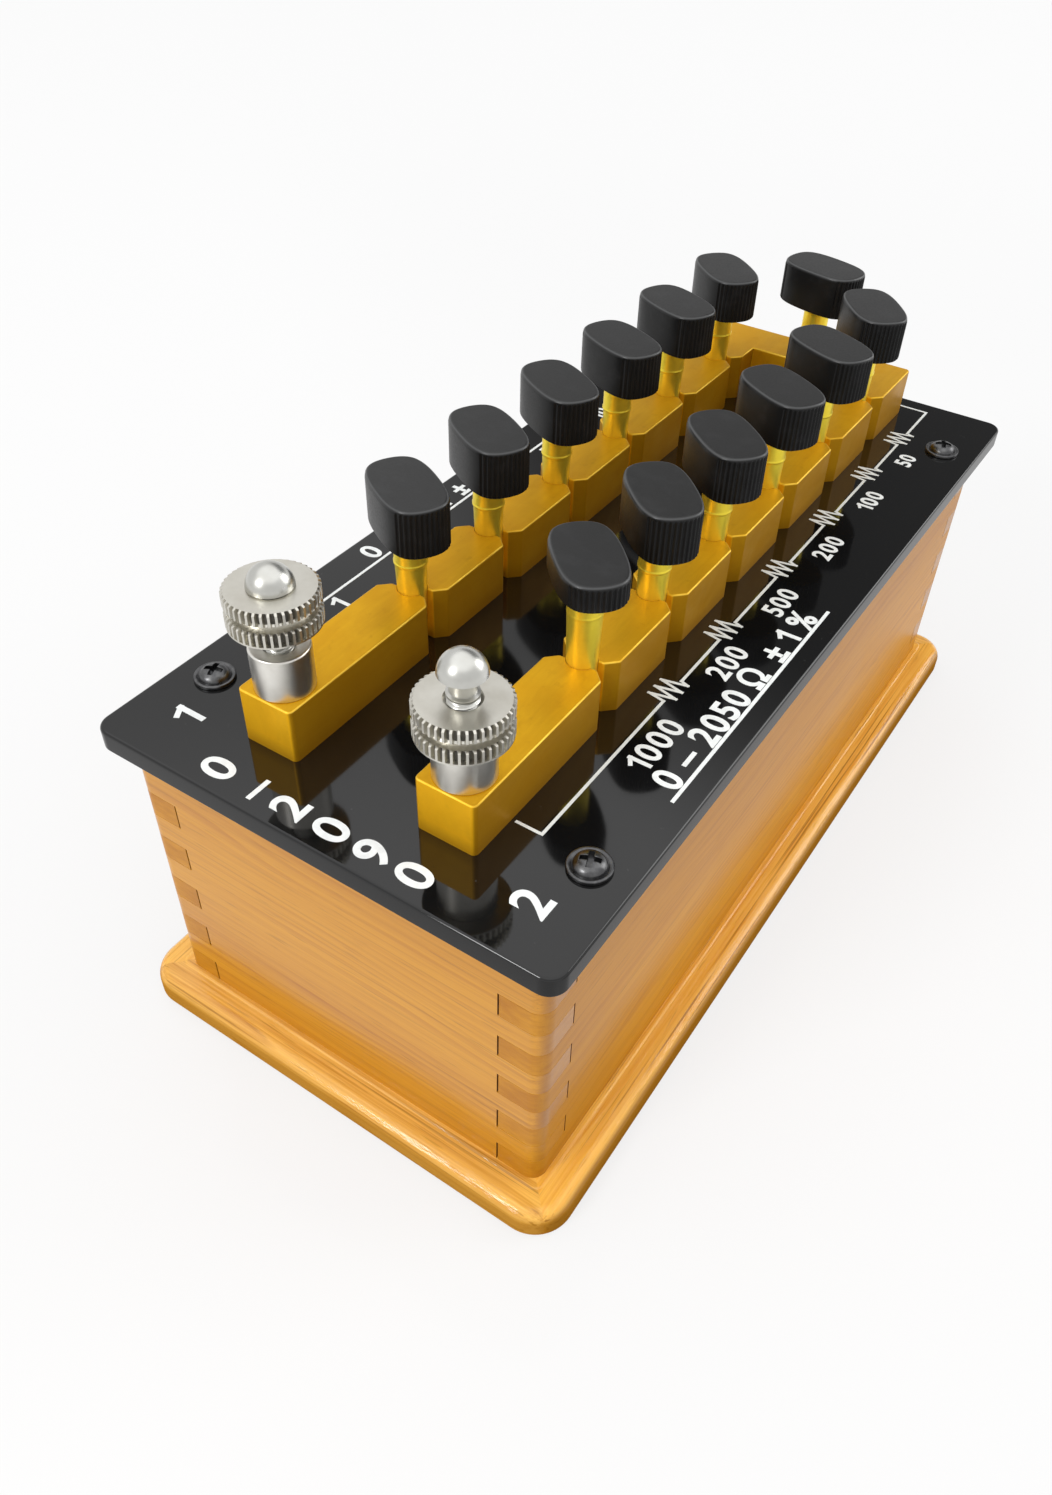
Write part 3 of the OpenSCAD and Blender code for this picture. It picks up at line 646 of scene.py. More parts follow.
def cross_tool(centre, turn_deg, low, high, arm, width=1.1):
    """Cutter for a cross recess between two heights."""
    short = width / 2
    corner = [(arm, -short), (arm, short), (short, short)]
    outline = []
    for quarter in range(4):
        turn = radians(turn_deg + 90 * quarter)
        for x, y in corner:
            outline.append((centre.x + x * cos(turn) - y * sin(turn),
                            centre.y + x * sin(turn) + y * cos(turn)))
    return prism([(low, outline), (high, outline)])


def stand_in(node, form, bm, material, sharp_deg=40):
    """A piece that replaces a CAD node and is named after it and its form."""
    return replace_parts(piece(f"{node}_{form}", bm, material, node, sharp_deg), node)


# Case

JOINT_GAP, JOINT_FIT, FLAT_DEG = 0.32, 0.1, 0.5
JOINT_LINE = mottled("joint_line", (0.20, 0.075, 0.010), 900, metallic=0.0, rough=0.6)


def build_walls():
    """The boards keep the solids' fingers; each slot is a hair deeper, which leaves a dark joint line."""
    root = Vector((box_mm("right_wall")[0].x, box_mm("rear_wall")[0].y))
    boards = {"front_wall": 0, "rear_wall": 0, "left_wall": 1, "right_wall": 1}
    for node, axis in boards.items():
        bm = solid_mm(node)
        bmesh.ops.dissolve_limit(bm, angle_limit=radians(FLAT_DEG), verts=bm.verts, edges=bm.edges)
        bottoms = {v for v in bm.verts if abs(abs(v.co[axis]) - root[axis]) < JOINT_FIT}
        for vert in bottoms:
            vert.co[axis] -= copysign(JOINT_GAP, vert.co[axis])
        for face in bm.faces:
            face.material_index = int(bottoms.issuperset(face.verts))
        wood = WOOD_ALONG if axis else WOOD_ACROSS
        board = stand_in(node, "board", bm, wood, sharp_deg=30)
        board.data.materials.append(JOINT_LINE)


CUT_PAST, TIP_R = 1.0, 0.3
BASE_SCREW_R, BASE_HEAD_R, BASE_HEAD_H, BASE_FIT = 2.0, 4.0, 2.4, 0.15
BASE_LIP, BASE_POINT, SLOT_DEPTH, SLOT_TURN = 0.1, 3.0, 1.4, 25
BEAD_STEPS = ((6.4, 0.0), (6.65, 0.35), (6.85, 0.8), (7.1, 1.0))


def base_screw_levels(centre, sink, foot, tip, grow):
    """Levels of a countersunk wood screw from a foot up to its tip, all round larger by an amount."""
    head, shank = BASE_HEAD_R + grow, BASE_SCREW_R + grow
    profile = [(head, foot), (head, sink + BASE_LIP), (shank, sink + BASE_HEAD_H)]
    profile += [(shank, tip - BASE_POINT), (TIP_R, tip)]
    return lathe(centre, profile, count=48)


def build_base_screws():
    """Countersunk screws under the base, each with a cross recess."""
    low, high = box_mm("base_screws")
    screws = []
    for i, centre in enumerate(loose_centres("base_screws")):
        screw = prism(base_screw_levels(centre, low.z, low.z, high.z, 0.0))
        foot, floor = low.z - CUT_PAST, low.z + SLOT_DEPTH
        recess = cross_tool(centre, SLOT_TURN * i, foot, floor, arm=2.2)
        screws.append(carved(screw, recess, edge_mm=0.06))
    stand_in("base_screws", "heads", joined(screws), HIDDEN["steel"], sharp_deg=35)


def build_base():
    """Board with a round edge, a low bead along the foot of the walls and countersunk holes below."""
    corner_mm, round_mm, foot_mm, bead_mm = 9.0, 3.2, 0.6, 0.3
    outline = round_box(BASE_LOW, BASE_HIGH, corner_mm, steps=14)
    shelf = BASE_HIGH.z - bead_mm
    levels = eased(outline, BASE_LOW.z, shelf, round_mm, foot_mm, steps=8)
    for reach, rise in BEAD_STEPS:
        levels.append((shelf + rise * bead_mm, inset(outline, reach)))
    sink, tip = (corner.z for corner in box_mm("base_screws"))
    holes = [prism(base_screw_levels(centre, sink, BASE_LOW.z - CUT_PAST, tip, BASE_FIT))
             for centre in loose_centres("base_screws")]
    board = carved(prism(levels), joined(holes), edge_mm=0.12)
    stand_in("base_board", "plank", board, WOOD_BASE)
    build_base_screws()


def build_panel():
    """Plate with round corners and eased edges."""
    corner_mm, edge_mm, foot_mm = 4.0, 0.7, 0.25
    outline = round_box(PANEL_LOW, PANEL_HIGH, corner_mm, steps=12)
    levels = eased(outline, PANEL_LOW.z, PANEL_HIGH.z, edge_mm, foot_mm)
    stand_in("top_panel", "plate", prism(levels), PANEL, sharp_deg=50)


# Plug taper, shared by the pins and the bites in the blocks

PIN_TIP_Z = box_mm("left_plug_pin_1")[0].z
PIN_TIP_R, PIN_ENTRY_R, PIN_FIT = 2.8, 3.2, 0.05


def pin_radius(z):
    """Radius of a plug's taper at a height."""
    return PIN_TIP_R + (PIN_ENTRY_R - PIN_TIP_R) * (z - PIN_TIP_Z) / (BLOCK_TOP - PIN_TIP_Z)


# Contact blocks

GAP_CHAMFER, END_ROUND, INNER_ROUND = 2.4, 1.1, 0.5
CHAMFER_ROUND, BLOCK_EASE = 0.8, 0.45


def plug_end(x, y, ahead, bite):
    """Corners of a bar's end at a plug, right to left for the end ahead, left to right for the other."""
    side, cut, soft = BAR_HALF * ahead, GAP_CHAMFER, CHAMFER_ROUND
    points = [(x + side, y - ahead * cut, soft), (x + side - ahead * cut, y, soft)]
    points += notched((x + side, y), (x - side, y), (x, y + ahead * GAP_HALF), bite)
    return points + [(x - side + ahead * cut, y, soft), (x - side, y - ahead * cut, soft)]


def bar_corners(x, y0, y1, closed, bite):
    """Corners of a straight block whose front end is plain where it is closed."""
    plain = [(x - BAR_HALF, y0, END_ROUND), (x + BAR_HALF, y0, END_ROUND)]
    return (plain if closed else plug_end(x, y0, -1, bite)) + plug_end(x, y1, 1, bite)


def corner_corners(side, y0, y1, bite):
    """Corners of a corner block: a leg along the row and a bridge towards the middle."""
    cut, width, soft = GAP_CHAMFER, 2 * BAR_HALF, CHAMFER_ROUND
    inner, outer, near = ROW_X - BAR_HALF, ROW_X + BAR_HALF, GAP_HALF
    points = plug_end(ROW_X, y0, -1, bite) + [(outer, y1, END_ROUND)]
    points += [(near + cut, y1, soft), (near, y1 - cut, soft)]
    points += notched((near, y1), (near, y1 - width), (0, y1 - BAR_HALF), bite)
    points += [(near, y1 - width + cut, soft), (near + cut, y1 - width, soft)]
    points += [(inner, y1 - width, INNER_ROUND)]
    if side > 0:
        return points
    return [(-x, y, radius) for x, y, radius in reversed(points)]


def build_block(node, corners_at):
    """One block whose plug bites widen from the panel up to its top."""
    foot = filleted(corners_at(pin_radius(PANEL_TOP) + PIN_FIT))
    top = filleted(corners_at(pin_radius(BLOCK_TOP) + PIN_FIT))
    levels = [(PANEL_TOP, foot)] + eased(top, PANEL_TOP, BLOCK_TOP, BLOCK_EASE)[1:]
    stand_in(node, "bar", prism(levels), BRASS_BLOCK, sharp_deg=32)


def build_blocks():
    """Both rows: a terminal block, five short blocks and a corner block each."""
    for name, side in SIDES.items():
        x = side * ROW_X
        bars = {f"{name}_block_{k}": False for k in SHORT_BLOCKS}
        bars[f"{name}_terminal_block"] = True
        for node, closed in bars.items():
            y0, y1 = (corner.y for corner in box_mm(node))
            build_block(node, lambda bite: bar_corners(x, y0, y1, closed, bite))
        y0, y1 = (corner.y for corner in box_mm(f"{name}_corner_block"))
        build_block(f"{name}_corner_block", lambda bite: corner_corners(side, y0, y1, bite))


# Plugs

CAP_LENGTH, CAP_WIDTH, CAP_BLEND = 22.8, 13.9, 4.5
FLUTES, FLUTE_DEPTH, FLUTE_POINTS, FLAT_POINTS = 13, 0.38, 6, 18
FLUTE_STOP_DEG = 3
FERRULE_R, FERRULE_H = 3.65, 7.7
FERRULE_BEAD = ((-0.1, 0.08), (0.0, 0.3), (0.0, 0.8), (-0.15, 1.0))
CAP_TURNS = {
    "left": (149, 149, 150, 155, 155, 139),
    "right": (135, 136, 140, 150, 154, 130),
    "rear": (165,),
}


def cap_radius(angle):
    """Radius of a cap's plain outline: a round end blended into a flat side."""
    end, side = (2 / CAP_LENGTH) ** CAP_BLEND, (2 / CAP_WIDTH) ** CAP_BLEND
    return (end + abs(sin(angle)) ** CAP_BLEND * (side - end)) ** (-1 / CAP_BLEND)


def cap_outline(centre, turn, fluted):
    """A cap's outline, its two round ends fluted by a share from 0 to 1."""
    span = asin(CAP_WIDTH / CAP_LENGTH) - radians(FLUTE_STOP_DEG)
    steps = FLUTES * FLUTE_POINTS
    points = []
    for half in (0, pi):
        for i in range(steps):
            wave = 0.5 - 0.5 * cos(tau * i / FLUTE_POINTS)
            angle = half - span + 2 * span * i / steps
            points.append((angle, FLUTE_DEPTH * fluted * wave))
        for i in range(FLAT_POINTS):
            points.append((half + span + (pi - 2 * span) * i / FLAT_POINTS, 0))
    return [(centre.x + (cap_radius(a) - cut) * cos(a + turn),
             centre.y + (cap_radius(a) - cut) * sin(a + turn)) for a, cut in points]


def build_cap(node, turn_deg):
    """Moulded cap: fluted ends between an eased foot and a plain rounded rim."""
    rim_mm, fade_mm, foot_mm, skirt_mm = 0.7, 0.4, 0.35, 0.1
    low, high = box_mm(node)
    centre, turn = middle_mm(node), radians(turn_deg)
    plain, fluted = cap_outline(centre, turn, 0), cap_outline(centre, turn, 1)
    rim = eased(inset(plain, skirt_mm), low.z, high.z, rim_mm, steps=5)[1:]
    levels = [(low.z, inset(plain, foot_mm)), (low.z + foot_mm, fluted)]
    levels += [(high.z - rim_mm - fade_mm, fluted)] + rim
    stand_in(node, "moulding", prism(levels), CAP, sharp_deg=50)


def build_pin(node):
    """Tapered pin with a beaded ferrule under the cap."""
    tip_mm, turn_in_mm, turn_up_mm = 0.5, 0.15, 0.075
    low, _ = box_mm(node)
    foot = box_mm(node.replace("_pin", "_cap"))[0].z
    ferrule = foot - FERRULE_H
    entry = pin_radius(ferrule)
    profile = [(PIN_TIP_R - tip_mm, low.z), (PIN_TIP_R - turn_in_mm, low.z + turn_up_mm)]
    profile += [(pin_radius(low.z + tip_mm), low.z + tip_mm), (entry, ferrule)]
    profile += [(max(entry, FERRULE_R + out), ferrule + up) for out, up in FERRULE_BEAD]
    profile.append((profile[-1][0], foot))
    stand_in(node, "turned", prism(lathe(middle_mm(node), profile)), BRASS_PIN, sharp_deg=50)


def build_plugs():
    """A pin and a cap for every gap in the rows and for the one in the bridge."""
    for k in GAPS:
        for name in SIDES:
            build_pin(f"{name}_plug_pin_{k}")
            build_cap(f"{name}_plug_cap_{k}", CAP_TURNS[name][k - 1])
    build_pin("rear_plug_pin")
    build_cap("rear_plug_cap", CAP_TURNS["rear"][0])


# Terminals

THREAD_R, THREAD_PITCH, THREAD_DEPTH, THREAD_CURVE = 3.0, 1.0, 0.55, 0.8
THREAD_RISE, THREAD_SUNK, THREAD_STEPS = 0.9, 1.0, 10
BORE_R, NECK_R = THREAD_R + 0.05, 2.45
STUD_POINTS, COLLAR_POINTS, DOME_STEP_DEG = 48, 96, 6


def thread_outline(centre, z):
    """Cut through a screw thread at height z."""
    points = []
    for i in range(STUD_POINTS):
        angle = tau * i / STUD_POINTS
        share = (z / THREAD_PITCH - angle / tau) % 1.0
        r = THREAD_R - THREAD_DEPTH * (0.5 + 0.5 * cos(tau * share)) ** THREAD_CURVE
        points.append((centre[0] + r * cos(angle), centre[1] + r * sin(angle)))
    return points


def build_stud(name):
    """Stud with its thread between collar and neck, and a polished dome."""
    runout_mm, land_mm, ease_mm, flare_mm, pole_mm = 0.1, 0.5, 0.25, 0.3, 0.1
    node = f"{name}_stud"
    low, high = box_mm(node)
    centre = middle_mm(node)
    dome_r = (high.x - low.x) / 2
    dome_z = high.z - dome_r
    thread_end = box_mm("right_thumb_nut")[1].z + THREAD_RISE
    thread_start = box_mm(f"{name}_collar")[1].z - THREAD_SUNK
    levels = lathe(centre, [(THREAD_R, low.z), (THREAD_R, thread_start)], STUD_POINTS)
    steps = round((thread_end - thread_start) / THREAD_PITCH * THREAD_STEPS)
    for i in range(1, steps):
        z = thread_start + (thread_end - thread_start) * i / steps
        levels.append((z, thread_outline(centre, z)))
    land = thread_end + land_mm
    profile = [(THREAD_R - 2 * runout_mm, thread_end - runout_mm), (THREAD_R, thread_end + runout_mm)]
    profile += [(THREAD_R, land), (NECK_R, land + ease_mm), (NECK_R, dome_z - flare_mm)]
    profile += [(NECK_R + flare_mm, dome_z), (dome_r - ease_mm, dome_z), (dome_r, dome_z + ease_mm)]
    turns = [radians(a) for a in range(DOME_STEP_DEG, 90, DOME_STEP_DEG)]
    profile += [(dome_r * cos(t), dome_z + dome_r * sin(t)) for t in turns]
    profile.append((pole_mm, high.z))
    levels += lathe(centre, profile, STUD_POINTS)
    stand_in(node, "turned", prism(levels), NICKEL_BRIGHT, sharp_deg=45)


def build_collar(name):
    """Plain sleeve with an eased top and a countersunk bore."""
    ease_mm, foot_mm, sink_mm, sink_deep_mm = 0.45, 0.2, 0.5, 0.4
    node = f"{name}_collar"
    low, high = box_mm(node)
    outer = (high.x - low.x) / 2
    section = [(BORE_R, low.z), (outer - foot_mm, low.z), (outer, low.z + foot_mm)]
    for t in quarter_turn(4):
        section.append((outer - ease_mm * (1 - cos(t)), high.z - ease_mm * (1 - sin(t))))
    section += [(BORE_R + sink_mm, high.z), (BORE_R, high.z - sink_deep_mm)]
    turns = [tau * i / COLLAR_POINTS for i in range(COLLAR_POINTS)]
    bm = ring(middle_mm(node), lambda angle: section, turns)
    stand_in(node, "sleeve", bm, NICKEL_TURNED)


NUT_TEETH, TOOTH_DEPTH, NUT_GROOVE_R = 42, 0.9, 7.2
NUT_UPPER, NUT_LOWER, NUT_RIM, NUT_FOOT_RIM = 2.9, 3.2, 0.35, 0.5
NUT_STEP, NUT_FOOT_EASE, BORE_TOP, BORE_FOOT = 0.05, 0.15, 0.5, 0.4
SHOULDER_SHARE, HOLLOW_SHARE, HOLLOW_TILT = 0.25, 0.6, 0.3
TOOTH_PHASES = {0.0: 0.0, 0.34: 0.0, 0.50: 1.0, 0.84: 1.0}
# Painted shade: a dark material for the hollows between a nut's teeth.
TOOTH_PAINTED_SHADE = mottled("tooth_painted_shade", (0.09, 0.082, 0.065), 700, metallic=0.3, rough=0.45)


def build_nut(name):
    """Thumb nut: two flanges with flat-topped teeth round a smooth groove, with painted shade in the
    hollows between the teeth.
    """
    node = f"{name}_thumb_nut"
    low, high = box_mm(node)
    outer = (high.x - low.x) / 2
    lower_top, upper_foot = low.z + NUT_LOWER, high.z - NUT_UPPER
    cut_at = {tau * (tooth + phase) / NUT_TEETH: TOOTH_DEPTH * cut
              for tooth in range(NUT_TEETH) for phase, cut in TOOTH_PHASES.items()}

    def section(angle):
        """The nut's (radius, height) loop at an angle."""
        rim, wall, tooth = outer - NUT_RIM, outer - NUT_STEP, outer - cut_at[angle]
        shoulder, teeth = rim - TOOTH_DEPTH * SHOULDER_SHARE, low.z + NUT_FOOT_RIM
        lower = [(rim, low.z), (wall, low.z + NUT_FOOT_EASE), (wall, teeth)]
        lower += [(tooth, teeth + NUT_STEP), (tooth, lower_top - NUT_RIM), (shoulder, lower_top)]
        waist = [(NUT_GROOVE_R, lower_top + NUT_STEP), (NUT_GROOVE_R, upper_foot - NUT_STEP)]
        upper = [(shoulder, upper_foot), (tooth, upper_foot + NUT_RIM)]
        upper += [(tooth, high.z - NUT_RIM), (shoulder, high.z)]
        bore = [(BORE_R + BORE_TOP, high.z), (BORE_R, high.z - BORE_TOP)]
        bore += [(BORE_R, low.z + BORE_FOOT), (BORE_R + BORE_FOOT, low.z)]
        return lower + waist + upper + bore

    centre = middle_mm(node)
    bm = ring(centre, section, list(cut_at))
    bm.normal_update()
    for face in bm.faces:
        reach = (face.calc_center_median() - centre).xy.length
        painted_shade_hollow = NUT_GROOVE_R < reach < outer - TOOTH_DEPTH * HOLLOW_SHARE
        face.material_index = int(painted_shade_hollow and abs(face.normal.z) < HOLLOW_TILT)
    nut = stand_in(node, "knurled", bm, NICKEL_SATIN, sharp_deg=30)
    nut.data.materials.append(TOOTH_PAINTED_SHADE)


def build_terminals():
    """Stud, sleeve and thumb nut on each side."""
    for name in SIDES:
        build_stud(name)
        build_collar(name)
        build_nut(name)


# Panel screws

SCREW_SHANK_R, SCREW_TIP, SCREW_SEAT = 1.9, 1.5, 0.01
SCREW_HEAD = (
    (4.30, 0.00), (4.40, 0.12), (4.40, 0.62), (4.30, 0.83), (4.10, 0.90), (3.75, 0.86),
    (3.45, 0.68), (3.30, 0.62), (3.26, 0.95), (3.08, 1.38),
    (2.72, 1.80), (2.20, 2.15), (1.55, 2.37), (0.80, 2.48), (0.10, 2.50),
)
RECESS_DEPTH, RECESS_TURN = 1.3, 20


def build_panel_screws():
    """Four screws with a dished flange, a domed head and a cross recess."""
    low, high = box_mm("panel_screws")
    flange_r = max(r for r, _ in SCREW_HEAD)
    reach = Vector((high.x - flange_r, high.y - flange_r))
    shank = [(TIP_R, low.z), (SCREW_SHANK_R, low.z + SCREW_TIP), (SCREW_SHANK_R, PANEL_TOP - SCREW_SEAT)]
    profile = shank + [(r, PANEL_TOP + z) for r, z in SCREW_HEAD]
    floor, past = high.z - RECESS_DEPTH, high.z + CUT_PAST
    screws = []
    for x in (-reach.x, reach.x):
        for y in (-reach.y, reach.y):
            centre = Vector((x, y))
            recess = cross_tool(centre, RECESS_TURN, floor, past, arm=2.0)
            screws.append(carved(prism(lathe(centre, profile, count=64)), recess, edge_mm=0.07))
    stand_in("panel_screws", "heads", joined(screws), SCREW, sharp_deg=35)


# Marks on the panel. Places are measured from the panel's front left corner, across and along.

MARK_HEIGHT, MARK_LIFT = 0.06, 0.015
VALUE_TEXT = {"right": ("1000", "200", "500", "200", "100", "50"), "left": ("1", "2", "2", "5", "10", "20")}
VALUE_ALONG = (59.7, 91.4, 118.4, 145.8, 172.5, 198.2)
VALUE_ACROSS = {"right": 94.5, "left": 13.3}
VALUE_SIZES, VALUE_BOLD = (7.7, 7.2, 6.8, 6.4, 6.2, 6.0), 0.17
FRONT_TEXT, FRONT_ALONG, LARGE_SIZE, LARGE_BOLD = "0–2090", 5.8, 10.4, 0.22
FRONT_ACROSS = (29.1, 38.5, 47.3, 57.3, 67.0, 76.4)
TERMINAL_TEXT = (("1", 13.3, 13.0), ("2", 96.7, 12.4))
RANGE_TEXT = (
    ("0 – 2050 Ω  ± 1 %", 101.3, 84.0, 8.4, 0.22),
    ("0 – 40 Ω  ± 1 %", 5.6, 105.0, 7.8, 0.20),
)
RANGE_LINES = (((105.0, 48), (105.0, 121), 0.8), ((9.6, 58), (9.6, 152), 0.7))
CHAIN_ACROSS, CHAIN_WIDTH, CHAIN_FRONT, CHAIN_REAR = 89.5, 0.66, (84, 26.8), (77, 228.5)
ZIGZAG_ALONG = (76.3, 101.5, 130.9, 158.6, 185.5, 209.2)
ZIGZAG_ACROSS, ZIGZAG_STEP, ZIGZAG_TURNS = (85.7, 91.3), 1.3, 6

# Shares of a figure's size, and for the flag's width and start of the stem's width
FIGURE_GAP, WORD_GAP, FIGURE_MIDDLE = 0.10, 0.26, 0.35
ONE_TALL, ONE_STEM, FLAG_REACH, FLAG_DROP, FLAG_WIDTH, FLAG_START = 0.70, 0.085, 0.22, 0.20, 0.9, 0.55


def on_panel(across, along):
    """A point on the panel's top, in millimetres."""
    return Vector((PANEL_LOW.x + across, PANEL_LOW.y + along, PANEL_TOP))


def add_stroke(bm, start, end, width, height=0.0):
    """Adds a raised straight stroke with square ends past both of its points."""
    start, end = Vector(start), Vector(end)
    along = (end - start).normalized() * (width / 2)
    side = Vector((-along.y, along.x))
    plan = (start - along - side, end + along - side, end + along + side, start - along + side)
    levels = (height - MARK_HEIGHT, height + MARK_HEIGHT)
    low, high = ([bm.verts.new((*place, z)) for place in plan] for z in levels)
    bm.faces.new(reversed(low))
    bm.faces.new(high)
    for i in range(4):
        j = (i + 1) % 4
        bm.faces.new((low[i], low[j], high[j], high[i]))


def figure_one(size, bold):
    """Strokes of a one with its flag, as a mesh that stands on its baseline."""
    bm = bmesh.new()
    tall, width = ONE_TALL * size, ONE_STEM * size + 2 * bold
    add_stroke(bm, (0, width / 2), (0, tall - width / 2), width)
    start, end = (0, tall - FLAG_START * width), (-FLAG_REACH * size, tall - FLAG_DROP * size)
    add_stroke(bm, start, end, FLAG_WIDTH * width, MARK_LIFT)
    return mesh_of("figure", bm)


def figure(mark, size, bold):
    """Mesh of one figure or sign that stands on its baseline."""
    if mark == "1":
        return figure_one(size, bold)
    curve = bpy.data.curves.new("figure", "FONT")
    curve.body = mark
    curve.size = size
    curve.offset = bold
    curve.extrude = MARK_HEIGHT
    letter = linked("figure", curve)
    mesh = evaluated(letter)
    drop(letter)
    return mesh


def add_text(bm, words, across, along, size, bold):
    """Adds raised figures that read along the box, their tops towards the left."""
    reach, spaced = 0.0, []
    for mark in words:
        if mark == " ":
            reach += WORD_GAP * size
            continue
        mesh = figure(mark, size, bold)
        places = [v.co.x for v in mesh.vertices]
        spaced.append((mesh, reach - min(places)))
        reach += max(places) - min(places) + FIGURE_GAP * size
    turn = Matrix.Translation(on_panel(across, along)) @ Matrix.Rotation(pi / 2, 4, "Z")
    half = (reach - FIGURE_GAP * size) / 2
    for mesh, shift in spaced:
        mesh.transform(turn @ Matrix.Translation((shift - half, -FIGURE_MIDDLE * size, 0)))
        bm.from_mesh(mesh)
        bpy.data.meshes.remove(mesh)


def add_line(bm, start, end, width, lift=0.0):
    """Adds a raised straight line between two places on the panel, with square ends past both."""
    start, end = on_panel(*start), on_panel(*end)
    add_stroke(bm, start.xy, end.xy, width, PANEL_TOP + lift)


def add_path(bm, places, width):
    """Adds a line through places; every second straight piece lies a little higher."""
    for i, (start, end) in enumerate(zip(places, places[1:])):
        add_line(bm, start, end, width, MARK_LIFT * (i % 2))


def build_marks():
    """Coil values, range marks, terminal numbers and the chain of coils."""
    white = bmesh.new()
    for name in SIDES:
        for words, along, size in zip(VALUE_TEXT[name], VALUE_ALONG, VALUE_SIZES):
            add_text(white, words, VALUE_ACROSS[name], along, size, VALUE_BOLD)
    for mark in RANGE_TEXT:
        add_text(white, *mark)
    for line in RANGE_LINES:
        add_line(white, *line)
    for words, across in zip(FRONT_TEXT, FRONT_ACROSS):
        add_text(white, words, across, FRONT_ALONG, LARGE_SIZE, LARGE_BOLD)
    for mark in TERMINAL_TEXT:
        add_text(white, *mark, LARGE_SIZE, LARGE_BOLD)
    piece("panel_marks", white, MARK_WHITE, "top_panel")
    lines = bmesh.new()
    chain = [CHAIN_FRONT, (CHAIN_ACROSS, CHAIN_FRONT[1])]
    for along in ZIGZAG_ALONG:
        first = along - ZIGZAG_STEP * (ZIGZAG_TURNS - 1) / 2
        chain.append((CHAIN_ACROSS, first - ZIGZAG_STEP / 2))
        chain += [(ZIGZAG_ACROSS[i % 2], first + ZIGZAG_STEP * i) for i in range(ZIGZAG_TURNS)]
        chain.append((CHAIN_ACROSS, first + ZIGZAG_STEP * (ZIGZAG_TURNS - 0.5)))
    chain += [(CHAIN_ACROSS, CHAIN_REAR[1]), CHAIN_REAR]
    add_path(lines, chain, CHAIN_WIDTH)
    piece("panel_lines", lines, MARK_LINE, "top_panel")


# Stage, light and camera

FLOOR_REACH, FLOOR_DROP, FLOOR_GLOW = 6.0, 0.0001, 0.72


def build_stage():
    """A large pale floor, faintly glossy, that keeps the shadow of the box."""
    bm = bmesh.new()
    corners = ((-1, -1), (1, -1), (1, 1), (-1, 1))
    bm.faces.new([bm.verts.new((x * FLOOR_REACH, y * FLOOR_REACH, -FLOOR_DROP)) for x, y in corners])
    floor = linked("floor", mesh_of("floor", bm))
    look = Shader("floor_white", Base_Color=(0.70, 0.70, 0.70), Roughness=0.15, Specular_IOR_Level=0.25)
    path = look.add("ShaderNodeLightPath").outputs
    mirrored = look.math("MAXIMUM", path["Is Glossy Ray"], path["Is Transmission Ray"])
    seen = look.math("MAXIMUM", path["Is Camera Ray"], mirrored)
    glow = look.add("ShaderNodeEmission", Color=(1.0, 1.0, 1.0), Strength=1.0)
    ports = {0: look.times(seen, FLOOR_GLOW), 1: look.bsdf.outputs[0], 2: glow.outputs[0]}
    blend = look.add("ShaderNodeMixShader", None, ports)
    look.feed(look.tree.nodes["Material Output"].inputs["Surface"], blend.outputs[0])
    floor.data.materials.append(look.material)


SKY_SIDE, SKY_TOP, SKY_REAR = 0.85, 1.40, 0.15
TOP_HEIGHTS, REAR_HEIGHTS, REAR_DEPTHS = (0.60, 0.76), (0.22, 0.40), (0.62, 0.78)


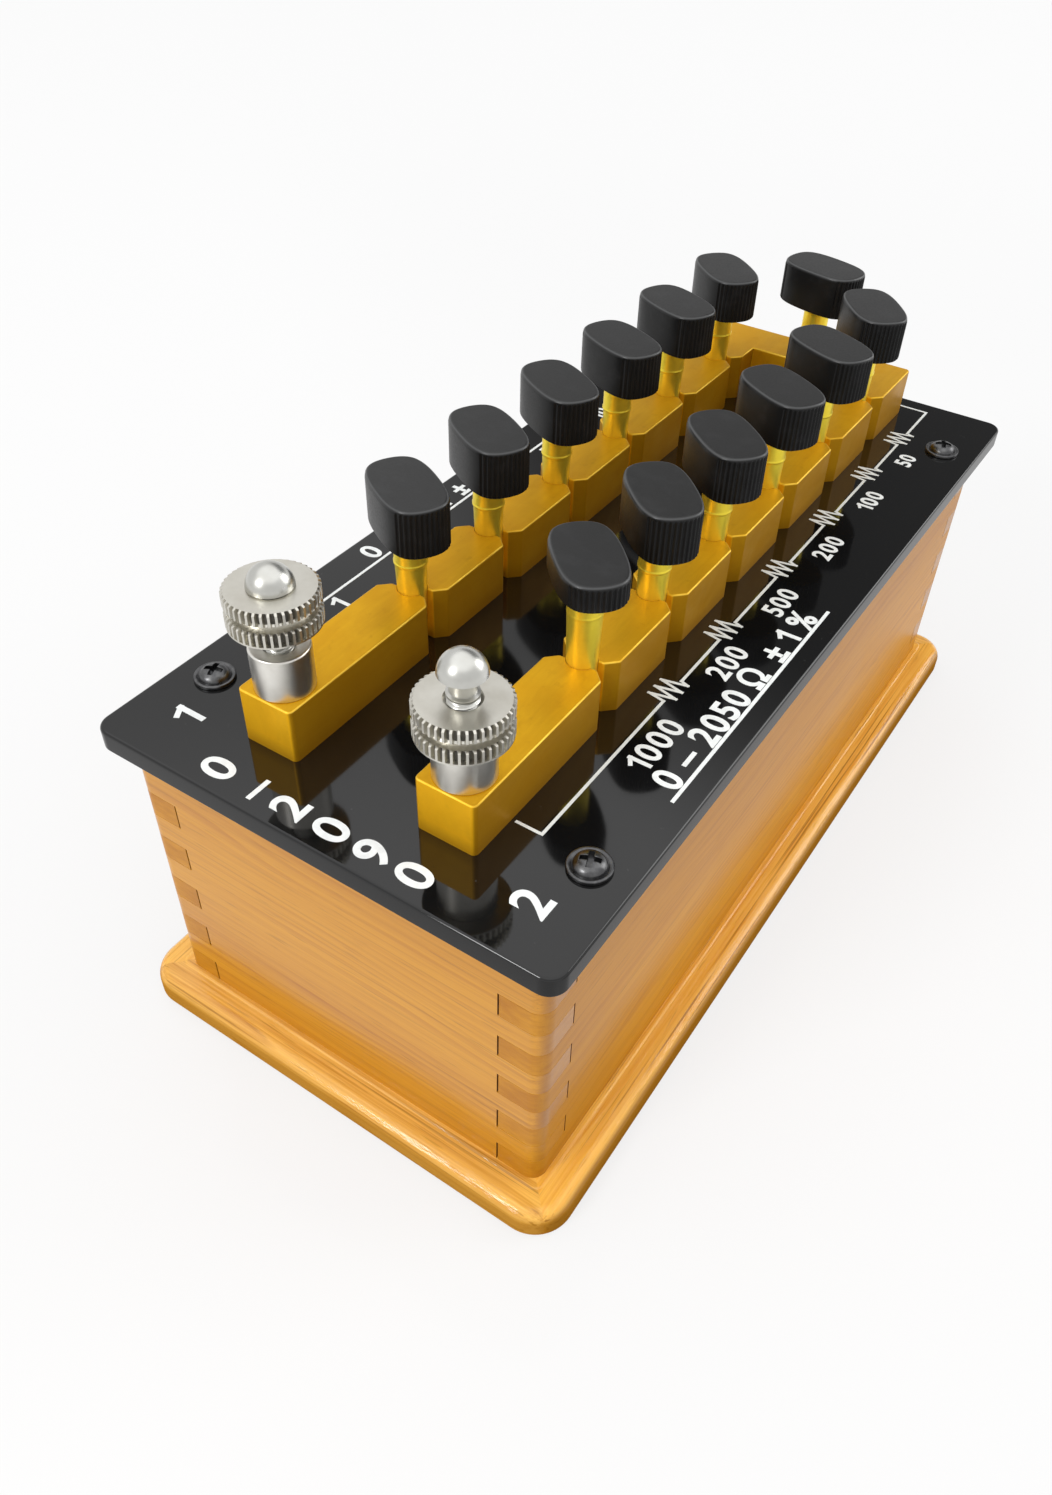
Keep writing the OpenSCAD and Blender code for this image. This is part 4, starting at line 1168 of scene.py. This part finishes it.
def build_sky():
    """A soft sky, brightest overhead and dim halfway up behind the box."""
    world = bpy.data.worlds.new("studio")
    bpy.context.scene.world = world
    world.use_nodes = True
    sky = Nodes(world.node_tree)
    _, back, up = sky.where("Generated")
    level = sky.span(up, *TOP_HEIGHTS, SKY_SIDE, SKY_TOP, "SMOOTHSTEP")
    rear = sky.span(up, *REAR_HEIGHTS, SKY_SIDE, SKY_REAR, "SMOOTHSTEP")
    level = sky.span(back, *REAR_DEPTHS, level, rear, "SMOOTHSTEP")
    background = world.node_tree.nodes["Background"]
    sky.feed(background.inputs["Color"], (1.0, 1.0, 1.0))
    sky.feed(background.inputs["Strength"], level)


LAMP_AIM = Vector((0, 0, 0.06))


def add_lamp(name, place, size, radiance):
    """A square soft lamp at a place, in metres, turned towards the box."""
    light = bpy.data.lights.new(name, "AREA")
    light.shape = "SQUARE"
    light.size = size
    light.energy = radiance * pi * size ** 2
    lamp = linked(name, light)
    lamp.location = place
    lamp.rotation_euler = (LAMP_AIM - Vector(place)).to_track_quat("-Z", "Y").to_euler()


PHOTO_HEIGHT_PX, FOCAL_PX, SENSOR_MM = 1495, 1171.2, 36.0
CAMERA_PLACE = Vector((110.47, -214.38, 241.32))
CAMERA_FORWARD = Vector((-0.3969, 0.6163, -0.6802))
CAMERA_UP = Vector((-0.3917, 0.5565, 0.7327))


def build_camera():
    """The photo's camera: place in millimetres, direction and focal length."""
    data = bpy.data.cameras.new("photo_camera")
    data.sensor_width = SENSOR_MM
    data.lens = FOCAL_PX / PHOTO_HEIGHT_PX * SENSOR_MM
    data.clip_start, data.clip_end = 0.005, 50.0
    camera = linked("photo_camera", data)
    back = -CAMERA_FORWARD.normalized()
    right = CAMERA_UP.cross(back).normalized()
    turn = Matrix((right, back.cross(right), back)).transposed()
    camera.matrix_world = Matrix.Translation(CAMERA_PLACE * MM) @ turn.to_4x4()
    bpy.context.scene.camera = camera


def dress_hidden():
    """Gives the pieces inside the box their own materials."""
    for node, slot in SLOT_OF.items():
        if slot in HIDDEN:
            mesh = frame["nodes"][node].data
            mesh.materials.clear()
            mesh.materials.append(HIDDEN[slot])


build_camera()
build_walls()
build_base()
build_panel()
build_blocks()
build_plugs()
build_terminals()
build_panel_screws()
build_marks()
dress_hidden()
build_stage()
build_sky()
add_lamp("key", place=(-0.75, -2.45, 1.75), size=0.8, radiance=15.0)
add_lamp("rim", place=(1.35, 1.60, 1.00), size=1.2, radiance=3.0)
bpy.context.scene.view_settings.view_transform = "Standard"
